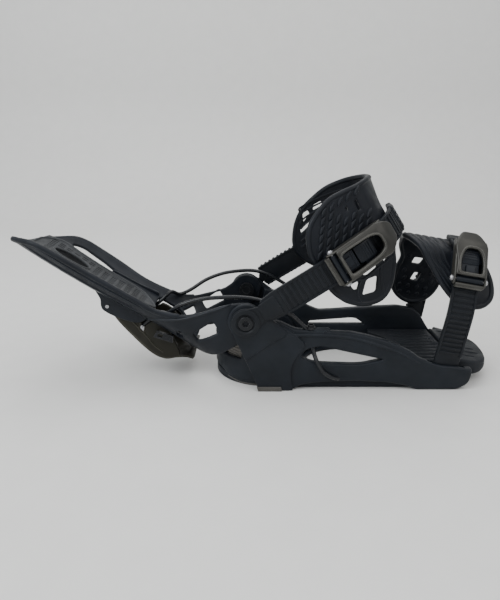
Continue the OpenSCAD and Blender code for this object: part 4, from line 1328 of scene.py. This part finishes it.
def heel_pads():
    parts = []
    for side in (-1, 1):
        y0, y1 = sorted((side * 51.4, side * 61.0))
        parts.append(side_plate(rounded([(-92.4, 0), (-69.8, 0), (-70.6, 4.4), (-93.6, 4.4)],
                                        0.8), y0, y1, edge=0.6))
    # thin strips under the sides of the hoop
    for side in (-1, 1):
        strip = plate(rounded([(side * 106, 0.4), (side * 50, 0.4), (side * 34, 3.2),
                               (side * 34, 4.6), (side * 50, 2.2), (side * 106, 2.0)], 0.6),
                      (), 4.4, 0.5, 2)
        sliced(strip, 0, 3)
        parts.append(bent(strip, hoop_rule(-0.6)))
    return joined(*parts)


piece("heel_pads_skin", heel_pads(), M["grip"], "chassis", ("heel_eva_pads",))


def toe_footbed():
    # the sheet starts in front of the disc opening
    arc = [(50.5 * math.cos(t), 50.5 * math.sin(t))
           for t in (math.radians(50 - 100 * k / 16) for k in range(17))]
    outline = [(arc[-1][0], -47.8), (99.3, -47.8), (99.3, 47.8), (arc[0][0], 47.8)] + arc
    under = plate(outline, (), 13.2, 0.6, 2)
    under.transform(Matrix.Translation((0, 0, 7.2 + 6.6)))
    grooves = []
    for k in range(-5, 6):
        y = k * 8.4
        start = 56 if abs(y) < 28 else 60
        grooves.append(rounded([(start, y - 0.9), (94, y - 0.9), (94, y + 0.9),
                                (start, y + 0.9)], 0.8, 3))
    skin = plate(outline, grooves, 2.8, 0.8, 2)
    skin.transform(Matrix.Translation((0, 0, 21.8)))
    return joined(under, skin, *rings(83, 99, 23.1))


def rings(x0, x1, z):
    """Plain raised rings centred over the seam, cut to one side of it."""
    out = []
    for r in (5.5, 8.2, 11.0):
        line = [Vector((101 + r * math.cos(t), 11 + 1.1 * r * math.sin(t), z))
                for t in (2 * math.pi * k / 72 for k in range(72))]
        inside = [x0 < p.x < x1 for p in line]
        start = next(i for i in range(72) if inside[i] and not inside[i - 1])
        run = []
        while inside[start % 72]:
            run.append(line[start % 72])
            start += 1
        out.append(tube(run, 0.6, 8))
    return out


piece("toe_footbed_skin", toe_footbed(), M["footbed"], "chassis", ("toe_footbed",))


def toe_ramp():
    outline = rounded([(102, -41), (119, -40.5, 6), (134, -30, 10), (141, -8, 14),
                       (144, 13, 10), (143.6, 28, 10), (136, 40, 10), (125, 51, 8),
                       (114, 57, 3), (109.5, 57, 1), (109.5, 48.4, 1), (102, 48.4, 1)], 2)
    body = plate(outline, (), 14, 2.2, 4)
    sliced(body, 0, 6)

    def rule(x, y, w):
        top = 24.2 - (x - 102) * 0.16
        low = 8 + max(0, x - 126) * 0.30
        return Vector((x, y, low + (w + 7) / 14 * (top - low)))

    parts = [bent(body, rule)]
    for y in (-26, -15, -4, 30, 41):
        reach = 132 if y > -20 else 124
        parts.append(tube([rule(x, y, 7) for x in (109, 112, reach - 3, reach)],
                          [0.5, 1.0, 1.0, 0.5], 8))
    for y in (-25, 25):
        parts.append(block((66.5, y - 7.8, 2.7), (117, y + 7.8, 5.8), 0.5))
    ring_parts = rings(102.6, 114, 23.4)
    return joined(*parts, *ring_parts)


piece("toe_ramp_skin", toe_ramp(), M["footbed"], "toe_ramp", ("toe_ramp",))


def heel_footbed():
    ring = [(HOOP_X - 43.8 * math.sin(t), 43.8 * math.cos(t))
            for t in (math.pi * k / 30 for k in range(31))]
    arc = [(50.6 * math.cos(t), 50.6 * math.sin(t))
           for t in (math.radians(240 - 120 * k / 20) for k in range(21))]
    outline = ring + [(arc[0][0] - 2, -43.8)] + arc + [(arc[-1][0] - 2, 43.8)]
    body = plate(outline, (), 5.0, 1.4, 3)
    body.transform(Matrix.Translation((0, 0, 9.7)))
    parts = [body]
    for k in range(4):
        x = -72 - 9 * k
        reach = 36 - 1.6 * k
        parts.append(tube([(x, y, 12.3) for y in (-reach, -reach + 4, reach - 4, reach)],
                          [0.4, 1.0, 1.0, 0.4], 8))
    return joined(*parts)


piece("heel_footbed_skin", heel_footbed(), M["footbed"], "chassis", ("heel_footbed",))


# ---- bolts ------------------------------------------------------------------------

def star(r0, r1, points=6):
    return [((r0 if k % 2 else r1) * math.cos(t), (r0 if k % 2 else r1) * math.sin(t))
            for k, t in ((k, math.pi * k / points) for k in range(2 * points))]


def bolt_head(radius, height, recess):
    """A flat round head with a six-lobed recess, its outer face at z 0."""
    ring = [(radius * math.cos(t), radius * math.sin(t))
            for t in (2 * math.pi * k / 48 for k in range(48))]
    head = plate(ring, [star(recess * 0.68, recess)], height, 0.7, 3)
    head.transform(Matrix.Translation((0, 0, -height / 2)))
    pan = turned([(0, -height), (radius * 0.8, -height), (radius * 0.8, -height + 0.6),
                  (0, -height + 0.6)], 32)
    return joined(head, pan)


def pivot_bolts():
    parts = []
    for side in (-1, 1):
        shank = turned([(0, 47), (4, 47), (4, 64.4), (0, 64.4)], 32)
        head = bolt_head(6.6, 2.8, 3.4)
        head.transform(Matrix.Translation((0, 0, 66.6)))
        both_parts = joined(shank, head)
        both_parts.transform(Matrix.Translation((-104, 0, 69))
                             @ Matrix.Rotation(side * -math.pi / 2, 4, "X"))
        parts.append(both_parts)
    return joined(*parts)


piece("pivot_bolts_skin", pivot_bolts(), M["black_steel"], "chassis", ("pivot_bolts",))


# ---- finishes of the carried CAD pieces -------------------------------------------

CARRIED = {
    "black_steel": ["pivot_nuts", "toe_strap_bolts", "toe_strap_nut", "cable_sockets",
                    "ankle_pawl_pin", "toe_pawl_pin", "lever_link"],
    "nylon": ["pivot_bushes"],
    "steel": ["toe_ramp_screws", "cable_barrels", "ankle_pawl_spring",
              "toe_pawl_spring"],
}
for finish, names in CARRIED.items():
    for name in names:
        node = frame["nodes"][name]
        node.data.materials.clear()
        node.data.materials.append(M[finish])


# ---- floor, light and camera ------------------------------------------------------

def stage():
    bm = bmesh.new()
    profile = [(-1500, 0), (900, 0)] + [
        (900 + 400 * math.sin(t), 400 - 400 * math.cos(t))
        for t in (math.pi / 2 * k / 12 for k in range(1, 13))] + [(1300, 2500)]
    rows = [[bm.verts.new((x * MM, y * MM, z * MM)) for x in (-3500, 3500)]
            for y, z in profile]
    for one, two in zip(rows, rows[1:]):
        bm.faces.new((one[0], one[1], two[1], two[0]))
    mesh = bpy.data.meshes.new("floor")
    bm.to_mesh(mesh)
    for face in mesh.polygons:
        face.use_smooth = True
    floor = bpy.data.objects.new("floor", mesh)
    bpy.context.scene.collection.objects.link(floor)
    mesh.materials.append(moulded("pale_floor", (0.72, 0.715, 0.695), 0.42, 60, 0.02, 0,
                                  vary=0.015, rough_vary=0.03))


def lamp(name, place, target, size, power, color=(1, 1, 1)):
    light = bpy.data.lights.new(name, "AREA")
    light.size = size
    light.energy = power
    light.color = color
    obj = bpy.data.objects.new(name, light)
    obj.location = place
    obj.rotation_euler = (Vector(target) - Vector(place)).to_track_quat("-Z", "Y").to_euler()
    bpy.context.scene.collection.objects.link(obj)


def camera():
    data = bpy.data.cameras.new("camera")
    data.sensor_width = 36
    data.lens = 32.16
    data.shift_y = -50 / 600
    obj = bpy.data.objects.new("camera", data)
    obj.location = (-0.100, -0.530, 0.232)
    obj.rotation_euler = (math.radians(90 - 11.5), 0, 0)
    bpy.context.scene.collection.objects.link(obj)
    bpy.context.scene.camera = obj


stage()
lamp("window", (-1.2, -0.9, 1.3), (-0.1, 0, 0.05), 1.2, 26, (0.95, 0.98, 1.0))
lamp("room", (0.9, -1.0, 1.4), (-0.05, 0, 0.05), 1.6, 14, (1.0, 0.98, 0.95))
lamp("ceiling", (-0.1, 0.5, 1.9), (-0.1, 0, 0.0), 1.8, 22)
world = bpy.data.worlds.new("studio")
world.use_nodes = True
world.node_tree.nodes["Background"].inputs["Color"].default_value = (0.92, 0.95, 1.0, 1)
world.node_tree.nodes["Background"].inputs["Strength"].default_value = 0.55
bpy.context.scene.world = world
camera()
